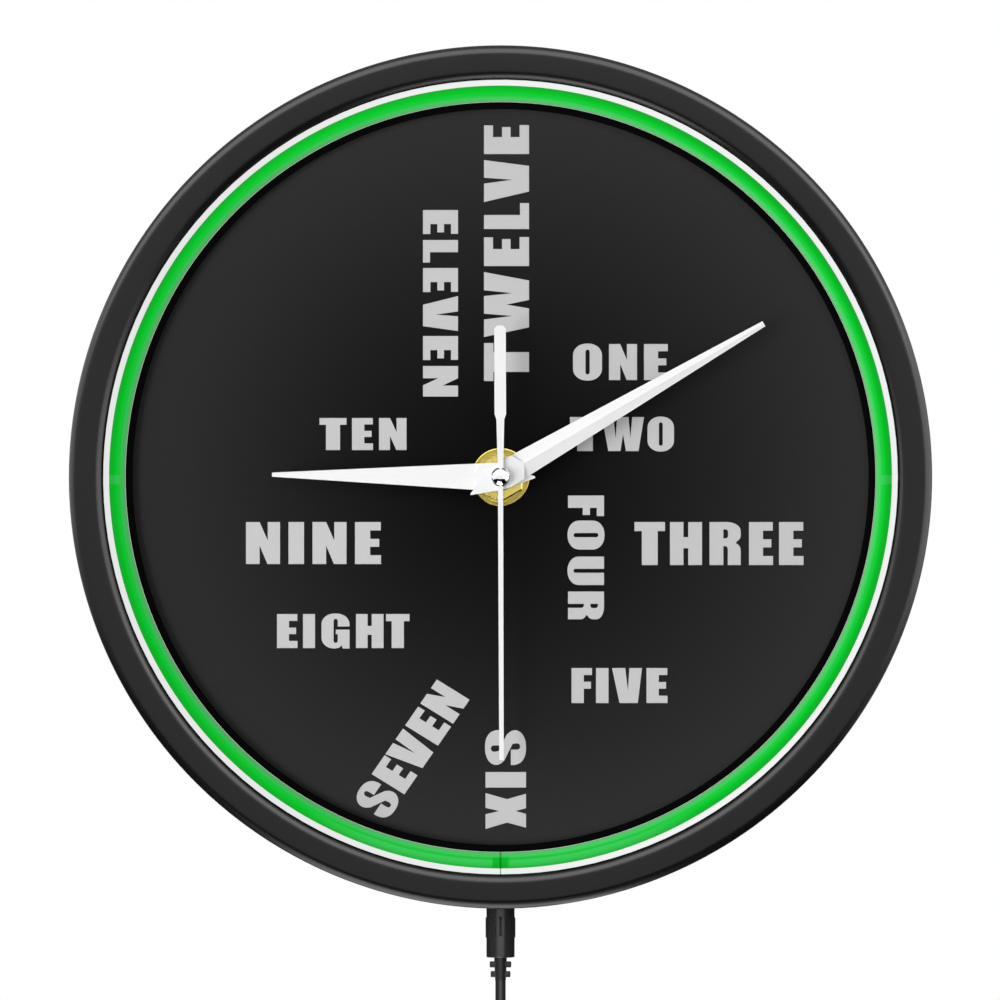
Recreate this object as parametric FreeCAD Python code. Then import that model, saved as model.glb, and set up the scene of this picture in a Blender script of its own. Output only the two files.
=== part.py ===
import FreeCAD, Part
import math
import os

# A round wall clock with a lit ring round a plain black dial, driven by a quartz movement with one AA cell and
# lit through a low-voltage lead that plugs into the bottom of the case.
#
# Millimetres. X is to the right and Z is up. The wall is the plane y = 0, and a depth is measured from the wall
# towards the viewer, so a point at depth d has y = -d. Everything is drawn round the axis of the hands and then
# lowered, so that the origin is the screw seat at the top of the keyhole.

# ---- case
case_radius = 127.0
case_depth = 40.0
case_wall = 2.0
rear_depth = 16.0
back_round = 2.5
bezel_outer_round = 2.6
bezel_inner_round = 1.9
gusset_wall = 1.8
gusset_count = 6
gusset_shoulder = 9.0

# ---- keyhole and the opening behind the movement
hang_rise = 92.0
keyhole_entry_radius = 4.5
keyhole_slot_radius = 2.3
keyhole_drop = 10.0
keyhole_pad = 1.5
keyhole_border = 5.0
rear_opening = 72.0
rear_opening_wall = 1.8
rear_opening_rim = 8.0

# ---- dial, light ring and trim
recess = 9.0
dial_thickness = 1.0
rim_to_tube = 14.0
tube_radius = 2.4
tube_flat_drop = 2.0
tube_sink = 5.5
tube_end_gap = 0.4
tube_sides = 5
strip_width = 3.4
strip_thickness = 0.4
strip_end_gap = 2.0
led_length = 2.8
led_width = 1.6
led_height = 0.7
led_count = 36
channel_wall = 1.6
channel_base = 1.4
channel_slit = 0.3
bezel_gap = 0.25
trim_width = 1.6
trim_height = 2.0
fit = 0.1
seat_margin = 0.5
channel_play = 0.3

# ---- screws that hold the case together
screw_count = 4
screw_recess_radius = 2.4
screw_recess = 2.9
boss_lap = 0.2
press = 0.02

# ---- quartz movement
movement_width = 56.0
movement_depth = 15.5
movement_wall = 1.5
movement_corner = 3.0
rubber_washer_radius = 9.0
rubber_washer_thickness = 0.8
bushing_radius = 4.0
bushing_rise = 0.5
washer_radius = 8.55
washer_thickness = 0.8
nut_across_flats = 13.0
nut_height = 2.4
nut_chamfer = 0.9
nut_turn = 4.0
plate_drop = 5.0
plate_thickness = 0.8
plate_margin = 0.5
pillar_width = 3.0
pillar_inset = 4.0
battery_radius = 7.15
battery_length = 50.5
battery_nub_radius = 2.75
battery_nub = 1.0
battery_room = 0.35
contact_thickness = 0.4
contact_width = 10.0
contact_height = 8.0
spring_radius = 3.4

# ---- gear train
wheel_thickness = 0.7
hour_wheel_thickness = 1.0
level_pitch = 1.2
level_gap = 0.5
leaf_margin = 0.2
arbor_radius = 0.55
motion_arbor_radius = 0.9
minute_pipe_radius = 1.5
hour_pipe_radius = 2.55
running = 0.07
pivot_depth = 0.9
end_shake = 0.2
rotor_module = 0.30
second_module = 0.40
centre_module = 0.28
hour_module = 0.34
rotor_leaves = 6
fifth_teeth = 36
fifth_leaves = 6
second_teeth = 30
second_leaves = 6
third_teeth = 45
third_leaves = 6
centre_teeth = 48
cannon_leaves = 12
motion_teeth = 36
motion_leaves = 10
hour_teeth = 40
third_direction = 160.0
fifth_direction = -20.0
rotor_direction = 10.0
motion_direction = 60.0
knob_radius = 5.0
knob_height = 2.2
knob_ridges = 14
knob_gap = 0.3

# A tooth is (addendum, dedendum, width at the tip), in modules.
wheel_tooth = (0.70, 1.20, 0.40)
leaf_tooth = (0.60, 1.20, 0.50)
knob_tooth = (0.0, 0.5, 1.5)

# ---- stepping motor and circuit
magnet_radius = 2.5
magnet_height = 2.6
stator_rise = 3.3
stator_thickness = 0.8
stator_gap = 0.4
stator_eye = 1.7
stator_limb = 3.0
core_inset = 5.0
core_low = -7.0
core_high = 21.0
bobbin_radius = 2.8
bobbin_flange = 1.0
circuit_thickness = 0.8
circuit_edge = 0.5
circuit_right = -6.0
circuit_low = 12.0
chip_radius = 2.2
chip_height = 0.7
crystal_radius = 1.0
crystal_length = 6.0

# ---- hands
hand_gap = 0.3
hand_edge = 0.25
hand_ridge = 0.9
tail_length = 10.2
tail_tip = 0.25
tail_waist = -1.1
tail_shoulder = 1.3
tail_narrowing = 0.85
hub_reach = 8.2
hour_length = 67.3
hour_half_width = 4.2
hour_tip = 0.6
minute_length = 89.7
minute_half_width = 3.9
minute_tip = 0.85
second_length = 83.3
second_thickness = 0.5
second_half_width = 0.76
second_tip = 0.66
second_neck = 1.15
paddle_near = 16.9
paddle_shoulder = 1.6
paddle_far = 44.6
paddle_half_width = 1.7
second_boss_radius = 2.45
cap_radius = 2.85
cap_height = 2.0
cap_edge = 0.35
hour_angle = 179.4
minute_angle = 30.2
second_angle = -89.8

# ---- driver board, jack and its wires
board_half_width = 17.0
board_post_x = 14.0
board_post_radius = 2.2
board_standoff = 1.2
board_thickness = 1.2
board_margin = 1.5
board_edge = 2.25
capacitor_radius = 2.5
capacitor_height = 7.0
capacitor_x = -12.0
driver_chip = 5.0
driver_chip_height = 1.6
driver_chip_x = 12.0
jack_width = 9.0
jack_length = 12.4
jack_inset = 0.4
jack_bore_radius = 3.0
jack_bore_depth = 10.4
jack_room = 0.4
pin_radius = 1.0
pin_inset = 0.8
wire_radius = 0.6
wire_room = 0.2
wire_inset = 2.2

# ---- lead and its two plugs
barrel_radius = 2.75
barrel_length = 9.5
plug_radius = 4.2
plug_length = 15.2
plug_seat = 0.3
relief_radius = 1.75
relief_length = 6.6
relief_tab_thickness = 2.2
relief_tabs = ((1.2, 3.0, 3.2), (4.1, 5.9, 2.95))
cord_diameter = 3.1
lead_drop = 13.2
lead_lean = 16.0
lead_end = 13.0
bend_share = 0.45
coil_shells = 3
coil_layers = 4
coil_inner_radius = 14.0
coil_back = 1.5
tie_width = 4.0
tie_thickness = 0.8
usb_width = 16.0
usb_thickness = 8.0
usb_length = 27.0
usb_drop = 24.0
shell_width = 12.0
shell_thickness = 4.5
shell_length = 11.8
shell_wall = 0.4
tongue_back = 0.1

# ---- places that follow from the sizes
tube_ring_radius = case_radius - rim_to_tube
dial_front = case_depth - recess
dial_back = dial_front - dial_thickness
tube_depth = case_depth - tube_sink - tube_radius
tube_flat = tube_depth - tube_flat_drop
strip_front = tube_flat - led_height
channel_floor = strip_front - strip_thickness
channel_back = channel_floor - channel_base
channel_outer = tube_ring_radius + tube_radius + fit / 2 + channel_wall
channel_top = tube_depth + tube_radius / 2
bezel_opening = channel_outer + bezel_gap
skirt_outer = bezel_opening + case_wall
case_inner = case_radius - case_wall
trim_outer = tube_ring_radius - tube_radius - fit
trim_inner = trim_outer - trim_width
dial_radius = trim_inner - fit
seat_outer = dial_radius - seat_margin
seat_inner = seat_outer - case_wall
channel_inner = seat_outer + channel_play
boss_ring = (skirt_outer + case_inner) / 2
boss_radius = (case_inner - skirt_outer) / 2 + boss_lap
keyhole_entry_z = hang_rise - keyhole_drop

movement_front = dial_back - rubber_washer_thickness
movement_back = movement_front - movement_depth
movement_half = movement_width / 2
movement_inner = movement_half - movement_wall
front_inner = movement_front - movement_wall
cover_front = movement_back + movement_wall
plate_front = front_inner - plate_drop
plate_back = plate_front - plate_thickness
pivot_back = cover_front - pivot_depth + end_shake
battery_z = battery_radius + battery_room - movement_inner
battery_depth = front_inner - end_shake - battery_radius
battery_left = movement_inner - contact_thickness - fit - battery_length
bay_top = battery_z + battery_radius + battery_room
gears_low = bay_top + movement_wall

washer_front = dial_front + washer_thickness
nut_front = washer_front + nut_height
nut_corner = nut_across_flats / 2 / math.cos(math.radians(30))
bushing_front = nut_front + bushing_rise
hour_level = bushing_front + hand_gap
minute_level = hour_level + hand_ridge + hand_gap
second_level = minute_level + hand_ridge + hand_gap
cap_level = second_level + second_thickness

board_back = case_wall + board_standoff
board_front = board_back + board_thickness
board_low = board_edge - case_inner
board_high = -seat_outer - board_margin
jack_face = jack_inset - case_inner
plug_depth = board_front + jack_width / 2
plug_top = -case_radius - plug_seat
relief_top = plug_top - plug_length
lead_top = relief_top - relief_length
coil_outer = coil_inner_radius + coil_shells * cord_diameter
coil_front = coil_back + coil_layers * cord_diameter
outer_shell = coil_outer - cord_diameter / 2
back_layer = coil_back + cord_diameter / 2
front_layer = coil_front - cord_diameter / 2
coil_z = lead_top - lead_drop - lead_lean - lead_end
tail_top = coil_z - cord_diameter
usb_top = coil_z - usb_drop


def at(x, depth, z):
    return FreeCAD.Vector(x, -depth, z)


axis_point = at(0, 0, 0)
forward = at(0, 1, 0)
upward = at(0, 0, 1)


def polar(radius, degrees, x=0.0, z=0.0):
    angle = math.radians(degrees)
    return x + radius * math.cos(angle), z + radius * math.sin(angle)


def disc(radius, back, front, x=0.0, z=0.0):
    return Part.makeCylinder(radius, front - back, at(x, back, z), forward)


def ring(inner, outer, back, front, x=0.0, z=0.0):
    return disc(outer, back, front, x, z).cut(disc(inner, back, front, x, z))


def hole(radius, back, front, x=0.0, z=0.0):
    # A cutter that runs a little past both of its ends.
    return disc(radius, back - fit, front + fit, x, z)


def box(left, right, back, front, low, high):
    return Part.makeBox(right - left, front - back, high - low, at(left, front, low))


def square(half, back, front, low, high):
    return box(-half, half, back, front, low, high)


def rod(radius, start, end):
    return Part.makeCylinder(radius, (end - start).Length, start, end - start)


def joined(*shapes):
    return shapes[0].multiFuse(list(shapes[1:])).removeSplitter()


def spun(shape, degrees):
    # Turns a shape from +X towards +Z about the hands' axis.
    turned_shape = shape.copy()
    turned_shape.rotate(axis_point, forward, degrees)
    return turned_shape


def polygon(points):
    return Part.Face(Part.makePolygon(points + points[:1]))


def eased(section):
    # A corner is (radius, depth) or (radius, depth, rounding). A rounding is drawn with two flats.
    points = [at(corner[0], corner[1], 0) for corner in section]
    outline = []
    for i, corner in enumerate(section):
        if len(corner) == 2:
            outline.append(points[i])
            continue
        back = (points[i - 1] - points[i]).normalize()
        ahead = (points[(i + 1) % len(points)] - points[i]).normalize()
        half = back.getAngle(ahead) / 2
        reach = corner[2] / math.tan(half)
        inward = (back + ahead).normalize() * (corner[2] / math.sin(half) - corner[2])
        outline += [points[i] + back * reach, points[i] + inward, points[i] + ahead * reach]
    return outline


def turned(section):
    return polygon(eased(section)).revolve(axis_point, forward, 360)


def extruded(outline, back, front):
    return polygon([at(x, back, z) for x, z in outline]).extrude(forward * (front - back))


def smooth_path(points):
    # Straight runs joined by tangent arcs, each as large as its two runs allow.
    edges = []
    radii = []
    start = points[0]
    for before, here, after in zip(points, points[1:], points[2:]):
        turn = (here - before).getAngle(after - here)
        reach = bend_share * min((here - before).Length, (after - here).Length)
        radius = reach / math.tan(turn / 2)
        back = (before - here).normalize()
        ahead = (after - here).normalize()
        middle = here + (back + ahead).normalize() * (radius / math.cos(turn / 2) - radius)
        edges.append(Part.LineSegment(start, here + back * reach).toShape())
        edges.append(Part.Arc(here + back * reach, middle, here + ahead * reach).toShape())
        start = here + ahead * reach
        radii.append(round(radius, 1))
    edges.append(Part.LineSegment(start, points[-1]).toShape())
    print("bend radii", radii)
    return Part.Wire(edges)


# ---- front bezel: a hollow ring with a rounded front, an outer and an inner skirt, and four screw bosses
screw_places = [polar(boss_ring, 360 * (k + 0.5) / screw_count) for k in range(screw_count)]


def front_bezel():
    front_inside = case_depth - case_wall
    shell = turned([
        (case_radius, rear_depth),
        (case_radius, case_depth, bezel_outer_round),
        (bezel_opening, case_depth, bezel_inner_round),
        (bezel_opening, channel_back),
        (skirt_outer, channel_back),
        (skirt_outer, front_inside),
        (case_inner, front_inside),
        (case_inner, rear_depth),
    ])
    bosses = [disc(boss_radius, rear_depth, front_inside + fit, x, z) for x, z in screw_places]
    return joined(shell, *bosses)


# ---- rear case: a shallow pan with the dial's seat, gussets under the light channel, screw posts and the keyhole
def gusset():
    inside = seat_inner + fit
    foot = case_wall - fit
    outline = [(inside, foot), (case_inner + fit, foot), (case_inner + fit, gusset_shoulder),
               (skirt_outer, channel_back), (inside, channel_back)]
    return polygon([at(r, d, -gusset_wall / 2) for r, d in outline]).extrude(upward * gusset_wall)


def rear_case():
    foot = case_wall - fit
    rim = rear_opening / 2 + rear_opening_wall
    rim_front = case_wall + rear_opening_rim
    pad = case_wall + keyhole_pad
    post_z = (board_low + board_high) / 2
    pan = turned([
        (0, 0), (case_radius - back_round, 0), (case_radius, back_round), (case_radius, rear_depth),
        (case_inner, rear_depth), (case_inner, case_wall), (0, case_wall),
    ])
    parts = [
        pan,
        ring(seat_inner, seat_outer, foot, dial_back),
        square(rim, foot, rim_front, -rim, rim),
        disc(keyhole_entry_radius + keyhole_border, foot, pad, 0, keyhole_entry_z),
        disc(keyhole_slot_radius + keyhole_border, foot, pad, 0, hang_rise),
    ]
    parts += [spun(gusset(), 360 * k / gusset_count) for k in range(gusset_count)]
    parts += [disc(board_post_radius, foot, board_back, x, post_z) for x in (-board_post_x, board_post_x)]
    parts += [disc(boss_radius, foot, rear_depth, x, z) for x, z in screw_places]
    slot = keyhole_slot_radius
    half = rear_opening / 2
    cutters = [
        square(half, -fit, rim_front + fit, -half, half),
        hole(keyhole_entry_radius, 0, pad, 0, keyhole_entry_z),
        hole(slot, 0, pad, 0, hang_rise),
        square(slot, -fit, pad + fit, keyhole_entry_z, hang_rise),
        rod(jack_bore_radius + jack_room, at(0, plug_depth, -case_radius), at(0, plug_depth, jack_face)),
    ]
    cutters += [hole(screw_recess_radius, 0, screw_recess - fit, x, z) for x, z in screw_places]
    whole = joined(*parts)
    for cutter in cutters:
        whole = whole.cut(cutter)
    return whole


# ---- dial and the ring of light round it
wire_x = jack_width / 2 + wire_inset
wire_places = [(side, -math.sqrt(tube_ring_radius**2 - wire_x**2)) for side in (-wire_x, wire_x)]


def dial_plate():
    return ring(bushing_radius + fit, dial_radius, dial_back, dial_front)


def dial_trim_ring():
    return ring(trim_inner, trim_outer, channel_floor, dial_front + trim_height)


def light_channel():
    wall = channel_outer - channel_wall
    channel = turned([
        (channel_inner, channel_back), (channel_outer, channel_back), (channel_outer, channel_top),
        (wall, channel_top), (wall, channel_floor), (channel_inner, channel_floor),
    ])
    channel = channel.cut(square(channel_slit / 2, channel_floor, case_depth, -case_radius, fit - wall))
    for x, z in wire_places:
        channel = channel.cut(hole(wire_radius + wire_room, channel_back, channel_floor, x, z))
    return channel


def light_tube():
    # Flat-bottomed where it sits on the lamps, and open by a hair's breadth at the bottom of the dial.
    lift = math.degrees(math.asin(-tube_flat_drop / tube_radius))
    sweep = 180 - 2 * lift
    section = [polar(tube_radius, lift + sweep * k / tube_sides, tube_ring_radius, tube_depth)
               for k in range(tube_sides + 1)]
    half_gap = math.degrees(math.asin(tube_end_gap / 2 / tube_ring_radius))
    face = polygon([at(radius, depth, 0) for radius, depth in section])
    return spun(face.revolve(axis_point, forward, 360 - 2 * half_gap), half_gap - 90)


def led_strip():
    # A flexible strip that bends only between its lamps.
    half = strip_width / 2 / math.cos(math.pi / led_count)
    inner = [polar(tube_ring_radius - half, 360 * k / led_count - 90) for k in range(led_count)]
    outer = [polar(tube_ring_radius + half, 360 * k / led_count - 90) for k in range(led_count)]
    band = extruded(outer, channel_floor, strip_front).cut(extruded(inner, channel_floor, strip_front))
    half_gap = strip_end_gap / 2
    return band.cut(square(half_gap, channel_floor, strip_front, -case_radius, 0))


def leds():
    lamp = box(tube_ring_radius - led_width / 2, tube_ring_radius + led_width / 2, strip_front, tube_flat,
               -led_length / 2, led_length / 2)
    return Part.makeCompound([spun(lamp, 360 * (k + 0.5) / led_count - 90) for k in range(led_count)])


# ---- gear train. Wheels are driven in pairs, so each centre distance follows from its module and teeth.
def centre_distance(module, driver, driven):
    return module * (driver + driven) / 2


third_distance = centre_distance(centre_module, third_leaves, centre_teeth)
third_module = 2 * third_distance / (second_leaves + third_teeth)
fifth_distance = centre_distance(second_module, fifth_leaves, second_teeth)
rotor_distance = centre_distance(rotor_module, rotor_leaves, fifth_teeth)
motion_distance = centre_distance(hour_module, motion_leaves, hour_teeth)
motion_module = 2 * motion_distance / (cannon_leaves + motion_teeth)
axis_place = (0.0, 0.0)
third_place = polar(third_distance, third_direction)
fifth_place = polar(fifth_distance, fifth_direction)
rotor_place = polar(rotor_distance, rotor_direction, *fifth_place)
motion_place = polar(motion_distance, motion_direction)
train_places = (axis_place, third_place, fifth_place, rotor_place)
fifth_level, second_wheel_level, third_level = (
    cover_front + level_gap + level_pitch * k for k in range(3)
)
centre_level = plate_front + level_gap
motion_level = centre_level + 2 * wheel_thickness + leaf_margin
hour_wheel_back = front_inner - level_gap - hour_wheel_thickness
stator_back = cover_front + stator_rise
stator_front = stator_back + stator_thickness
magnet_back = (stator_back + stator_front - magnet_height) / 2
knob_front = movement_back - knob_gap
knob_back = knob_front - knob_height


def toothed(teeth, module, tooth, place, back, front, first):
    # One tooth's middle points in the direction `first`.
    pitch_radius = module * teeth / 2
    tip = pitch_radius + tooth[0] * module
    root = pitch_radius - tooth[1] * module
    lean = math.degrees(math.asin(tooth[2] * module / 2 / tip))
    outline = []
    for k in range(teeth):
        middle = first + 360 * k / teeth
        outline += [polar(tip, middle - lean, *place), polar(tip, middle + lean, *place)]
        outline.append(polar(root, middle + 180 / teeth, *place))
    return extruded(outline, back, front)


def driving(leaves, module, place, back, front, direction):
    # A pinion with a leaf on the line towards the wheel that it drives.
    return toothed(leaves, module, leaf_tooth, place, back, front, direction)


def driven(teeth, module, place, back, direction, thickness=wheel_thickness):
    # A wheel with a gap on the line back to its pinion.
    first = direction + 180 + 180 / teeth
    return toothed(teeth, module, wheel_tooth, place, back, back + thickness, first)


def rotor():
    leaves = driving(rotor_leaves, rotor_module, rotor_place, fifth_level - leaf_margin,
                     fifth_level + wheel_thickness + leaf_margin, rotor_direction + 180)
    magnet = disc(magnet_radius, magnet_back, magnet_back + magnet_height, *rotor_place)
    return joined(disc(arbor_radius, pivot_back, plate_front, *rotor_place), leaves, magnet)


def fifth_wheel():
    wheel = driven(fifth_teeth, rotor_module, fifth_place, fifth_level, rotor_direction + 180)
    leaves = driving(fifth_leaves, second_module, fifth_place, fifth_level + wheel_thickness,
                     second_wheel_level + wheel_thickness + leaf_margin, fifth_direction + 180)
    return joined(disc(arbor_radius, pivot_back, plate_front, *fifth_place), wheel, leaves)


def second_wheel():
    wheel = driven(second_teeth, second_module, axis_place, second_wheel_level, fifth_direction + 180)
    leaves = driving(second_leaves, third_module, axis_place, second_wheel_level + wheel_thickness,
                     third_level + wheel_thickness + leaf_margin, third_direction)
    return joined(disc(arbor_radius, pivot_back, cap_level), wheel, leaves)


def third_wheel():
    wheel = driven(third_teeth, third_module, third_place, third_level, third_direction)
    leaf_back = centre_level - leaf_margin
    leaves = driving(third_leaves, centre_module, third_place, leaf_back,
                     centre_level + wheel_thickness + leaf_margin, third_direction + 180)
    return joined(disc(arbor_radius, pivot_back, leaf_back, *third_place), wheel, leaves)


def centre_wheel():
    # Pressed on the minute pipe behind the cannon pinion.
    front = centre_level + wheel_thickness
    wheel = driven(centre_teeth, centre_module, axis_place, centre_level, third_direction + 180)
    return wheel.cut(hole(minute_pipe_radius + press, centre_level, front))


def minute_pipe():
    back = centre_level - leaf_margin
    front = minute_level + hand_ridge
    cannon = driving(cannon_leaves, motion_module, axis_place, motion_level - leaf_margin,
                     motion_level + wheel_thickness + leaf_margin, motion_direction)
    return joined(disc(minute_pipe_radius, back, front), cannon).cut(hole(arbor_radius + running, back, front))


def motion_wheel():
    # Its thick arbor carries the setting knob outside the cover.
    front = motion_level + wheel_thickness
    wheel = driven(motion_teeth, motion_module, motion_place, motion_level, motion_direction)
    leaves = driving(motion_leaves, hour_module, motion_place, front, front_inner - leaf_margin, motion_direction + 180)
    thick = disc(motion_arbor_radius, knob_back, front, *motion_place)
    thin = disc(arbor_radius, front, front_inner + pivot_depth - end_shake, *motion_place)
    return joined(thick, thin, wheel, leaves)


def hour_wheel():
    front = hour_level + hand_ridge
    wheel = driven(hour_teeth, hour_module, axis_place, hour_wheel_back, motion_direction + 180, hour_wheel_thickness)
    pipe = disc(hour_pipe_radius, hour_wheel_back, front)
    return joined(wheel, pipe).cut(hole(minute_pipe_radius + running, hour_wheel_back, front))


def setting_knob():
    module = 2 * knob_radius / knob_ridges
    knob = toothed(knob_ridges, module, knob_tooth, motion_place, knob_back, knob_front, 0)
    return knob.cut(hole(motion_arbor_radius + press, knob_back, knob_front, *motion_place))


# ---- movement housing
def bevelled_square(low, high):
    half = movement_half
    corner = movement_corner
    top = [(half, high - corner), (half - corner, high), (corner - half, high), (-half, high - corner)]
    if low > -half:
        return [(-half, low), (half, low)] + top
    return [(-half, low + corner), (corner - half, low), (half - corner, low), (half, low + corner)] + top


def movement_case():
    split = gears_low - movement_wall / 2
    body = extruded(bevelled_square(-movement_half, movement_half), movement_back, movement_front)
    body = body.cut(square(movement_inner, movement_back, front_inner, gears_low, movement_inner))
    body = body.cut(square(movement_inner, movement_back, front_inner, -movement_inner, bay_top))
    body = body.cut(square(movement_half, movement_back, cover_front, split, movement_half))
    side = movement_inner - pillar_inset
    half = pillar_width / 2
    pillars = [box(x - half, x + half, plate_front, front_inner + fit, z - half, z + half)
               for x in (-side, side) for z in (gears_low + pillar_inset, side)]
    body = joined(body, disc(bushing_radius, movement_front - fit, bushing_front), *pillars)
    body = body.cut(hole(hour_pipe_radius + running, front_inner, bushing_front))
    return body.cut(hole(arbor_radius + running, front_inner, front_inner + pivot_depth, *motion_place))


def movement_cover():
    split = gears_low - movement_wall / 2
    cover = extruded(bevelled_square(split + fit / 2, movement_half), movement_back, cover_front)
    for place in train_places:
        cover = cover.cut(hole(arbor_radius + running, cover_front - pivot_depth, cover_front, *place))
    return cover.cut(hole(motion_arbor_radius + running, movement_back, cover_front, *motion_place))


def movement_plate():
    edge = movement_inner - plate_margin
    plate = square(edge, plate_back, plate_front, gears_low + plate_margin, edge)
    for place in train_places:
        plate = plate.cut(hole(arbor_radius + running, plate_back, plate_front, *place))
    return plate.cut(hole(motion_arbor_radius + running, plate_back, plate_front, *motion_place))


def rubber_washer():
    return ring(bushing_radius + fit, rubber_washer_radius, movement_front, dial_back)


def brass_washer():
    return ring(bushing_radius + fit, washer_radius, dial_front, washer_front)


def hex_nut():
    outline = [polar(nut_corner, 60 * k - 90 + nut_turn) for k in range(6)]
    nut = extruded(outline, washer_front, nut_front)
    crown = turned([
        (0, washer_front), (nut_corner, washer_front), (nut_corner, nut_front - nut_chamfer),
        (nut_across_flats / 2 - press, nut_front), (0, nut_front),
    ])
    return nut.common(crown).cut(hole(bushing_radius + press, washer_front, nut_front))


# ---- stepping motor, circuit and cell
core_x = movement_inner - core_inset
core_left = core_x - stator_limb / 2
core_right = core_x + stator_limb / 2


def stator():
    x, z = rotor_place
    half = magnet_radius + stator_gap
    sheet = box(x - half, x + half, stator_back, stator_front, core_low, core_high)
    arms = [box(x, core_left, stator_back, stator_front, low, low + stator_limb)
            for low in (core_low, core_high - stator_limb)]
    eye = disc(magnet_radius + stator_eye, stator_back, stator_front, x, z)
    return joined(sheet, eye, *arms).cut(hole(half, stator_back, stator_front, x, z))


def coil_core():
    return box(core_left, core_right, stator_back, stator_front, core_low, core_high)


def coil_bobbin():
    middle = (stator_back + stator_front) / 2
    low = core_low + stator_limb + bobbin_flange
    high = core_high - stator_limb - bobbin_flange
    winding = rod(bobbin_radius - bobbin_flange / 2, at(core_x, middle, low), at(core_x, middle, high))
    flanges = [rod(bobbin_radius, at(core_x, middle, start), at(core_x, middle, start + bobbin_flange))
               for start in (low, high - bobbin_flange)]
    half = fit / 2
    slot = box(core_left - half, core_right + half, stator_back - half, stator_front + half, low, high)
    return joined(winding, *flanges).cut(slot)


circuit_front = cover_front + circuit_thickness
circuit_left = circuit_edge - movement_inner
circuit_high = movement_inner - circuit_edge


def circuit_board():
    board = box(circuit_left, circuit_right, cover_front, circuit_front, circuit_low, circuit_high)
    x = (circuit_left + circuit_right) / 2
    z = (circuit_low + circuit_high) / 2
    chip = disc(chip_radius, circuit_front - fit, circuit_front + chip_height, x, z)
    return joined(board, chip)


def crystal():
    depth = circuit_front + crystal_radius
    left = circuit_left + crystal_length / 2
    z = circuit_high - 2 * crystal_radius
    return rod(crystal_radius, at(left, depth, z), at(left + crystal_length, depth, z))


def battery():
    shoulder = battery_left + battery_length - battery_nub
    body = rod(battery_radius, at(battery_left, battery_depth, battery_z), at(shoulder, battery_depth, battery_z))
    nub = rod(battery_nub_radius, at(shoulder, battery_depth, battery_z),
              at(battery_left + battery_length, battery_depth, battery_z))
    return joined(body, nub)


def contact_plate(left):
    return box(left, left + contact_thickness, battery_depth - contact_width / 2, battery_depth + contact_width / 2,
               battery_z - contact_height / 2, battery_z + contact_height / 2)


def battery_contact_plus():
    return contact_plate(movement_inner - contact_thickness)


def battery_contact_minus():
    start = contact_thickness - movement_inner
    spring = Part.makeCone(spring_radius, spring_radius / 2, battery_left - start,
                           at(start, battery_depth, battery_z), at(1, 0, 0))
    return joined(contact_plate(-movement_inner), spring)


# ---- hands: pressed sheet with a ridge down the middle, a flat hub and a short pointed tail
def blade(start, end, half_start, half_end, base):
    ridge_end = hand_edge + (hand_ridge - hand_edge) * half_end / half_start
    corners = ((start, -half_start), (end, -half_end), (end, half_end), (start, half_start))
    back = [at(x, base, z) for x, z in corners]
    edge = [at(x, base + hand_edge, z) for x, z in corners]
    ridge = [at(start, base + hand_ridge, 0), at(end, base + ridge_end, 0)]
    loops = [
        back,
        [back[0], back[1], edge[1], edge[0]],
        [back[2], back[3], edge[3], edge[2]],
        [back[1], back[2], edge[2], ridge[1], edge[1]],
        [back[3], back[0], edge[0], ridge[0], edge[3]],
        [edge[0], edge[1], ridge[1], ridge[0]],
        [edge[2], edge[3], ridge[0], ridge[1]],
    ]
    return Part.makeSolid(Part.makeShell([polygon(loop) for loop in loops]))


def hand(length, half_width, half_tip, base, pipe_radius, angle):
    narrow = half_width * tail_narrowing
    right = [(hub_reach, half_width), (tail_shoulder, half_width), (tail_waist, narrow), (-tail_length, tail_tip)]
    left = [(x, -z) for x, z in reversed(right)]
    hub = extruded(right + left, base, base + hand_ridge)
    whole = joined(hub, blade(hub_reach, length, half_width, half_tip, base))
    return spun(whole.cut(hole(pipe_radius + press, base, base + hand_ridge)), angle)


def hour_hand():
    return hand(hour_length, hour_half_width, hour_tip, hour_level, hour_pipe_radius, hour_angle)


def minute_hand():
    return hand(minute_length, minute_half_width, minute_tip, minute_level, minute_pipe_radius, minute_angle)


def second_hand():
    right = [
        (second_length, second_tip), (0, second_half_width), (-paddle_near, second_neck),
        (-paddle_near - paddle_shoulder, paddle_half_width), (paddle_half_width / 2 - paddle_far, paddle_half_width),
        (-paddle_far, paddle_half_width / 2),
    ]
    left = [(x, -z) for x, z in reversed(right)]
    body = joined(extruded(right + left, second_level, cap_level), disc(second_boss_radius, second_level, cap_level))
    return spun(body.cut(hole(arbor_radius + press, second_level, cap_level)), second_angle)


def hand_cap():
    rise = cap_height - cap_edge
    dome_radius = (cap_radius**2 + rise**2) / (2 * rise)
    dome = Part.makeSphere(dome_radius, at(0, cap_level + cap_height - dome_radius, 0))
    return disc(cap_radius, cap_level, cap_level + cap_height).common(dome)


# ---- power: driver board, jack, lead and its two plugs
def driver_board():
    board = square(board_half_width, board_back, board_front, board_low, board_high)
    capacitor_z = (board_low + board_high) / 2
    capacitor = disc(capacitor_radius, board_front - fit, board_front + capacitor_height, capacitor_x, capacitor_z)
    half = driver_chip / 2
    chip = box(driver_chip_x - half, driver_chip_x + half, board_front - fit, board_front + driver_chip_height,
               capacitor_z - half, capacitor_z + half)
    return joined(board, capacitor, chip)


def dc_jack():
    body = square(jack_width / 2, board_front, board_front + jack_width, jack_face, jack_face + jack_length)
    bore_end = jack_face + jack_bore_depth
    bore = rod(jack_bore_radius, at(0, plug_depth, jack_face - fit), at(0, plug_depth, bore_end))
    pin = rod(pin_radius, at(0, plug_depth, jack_face + pin_inset), at(0, plug_depth, bore_end + fit))
    return joined(body.cut(bore), pin)


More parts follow.
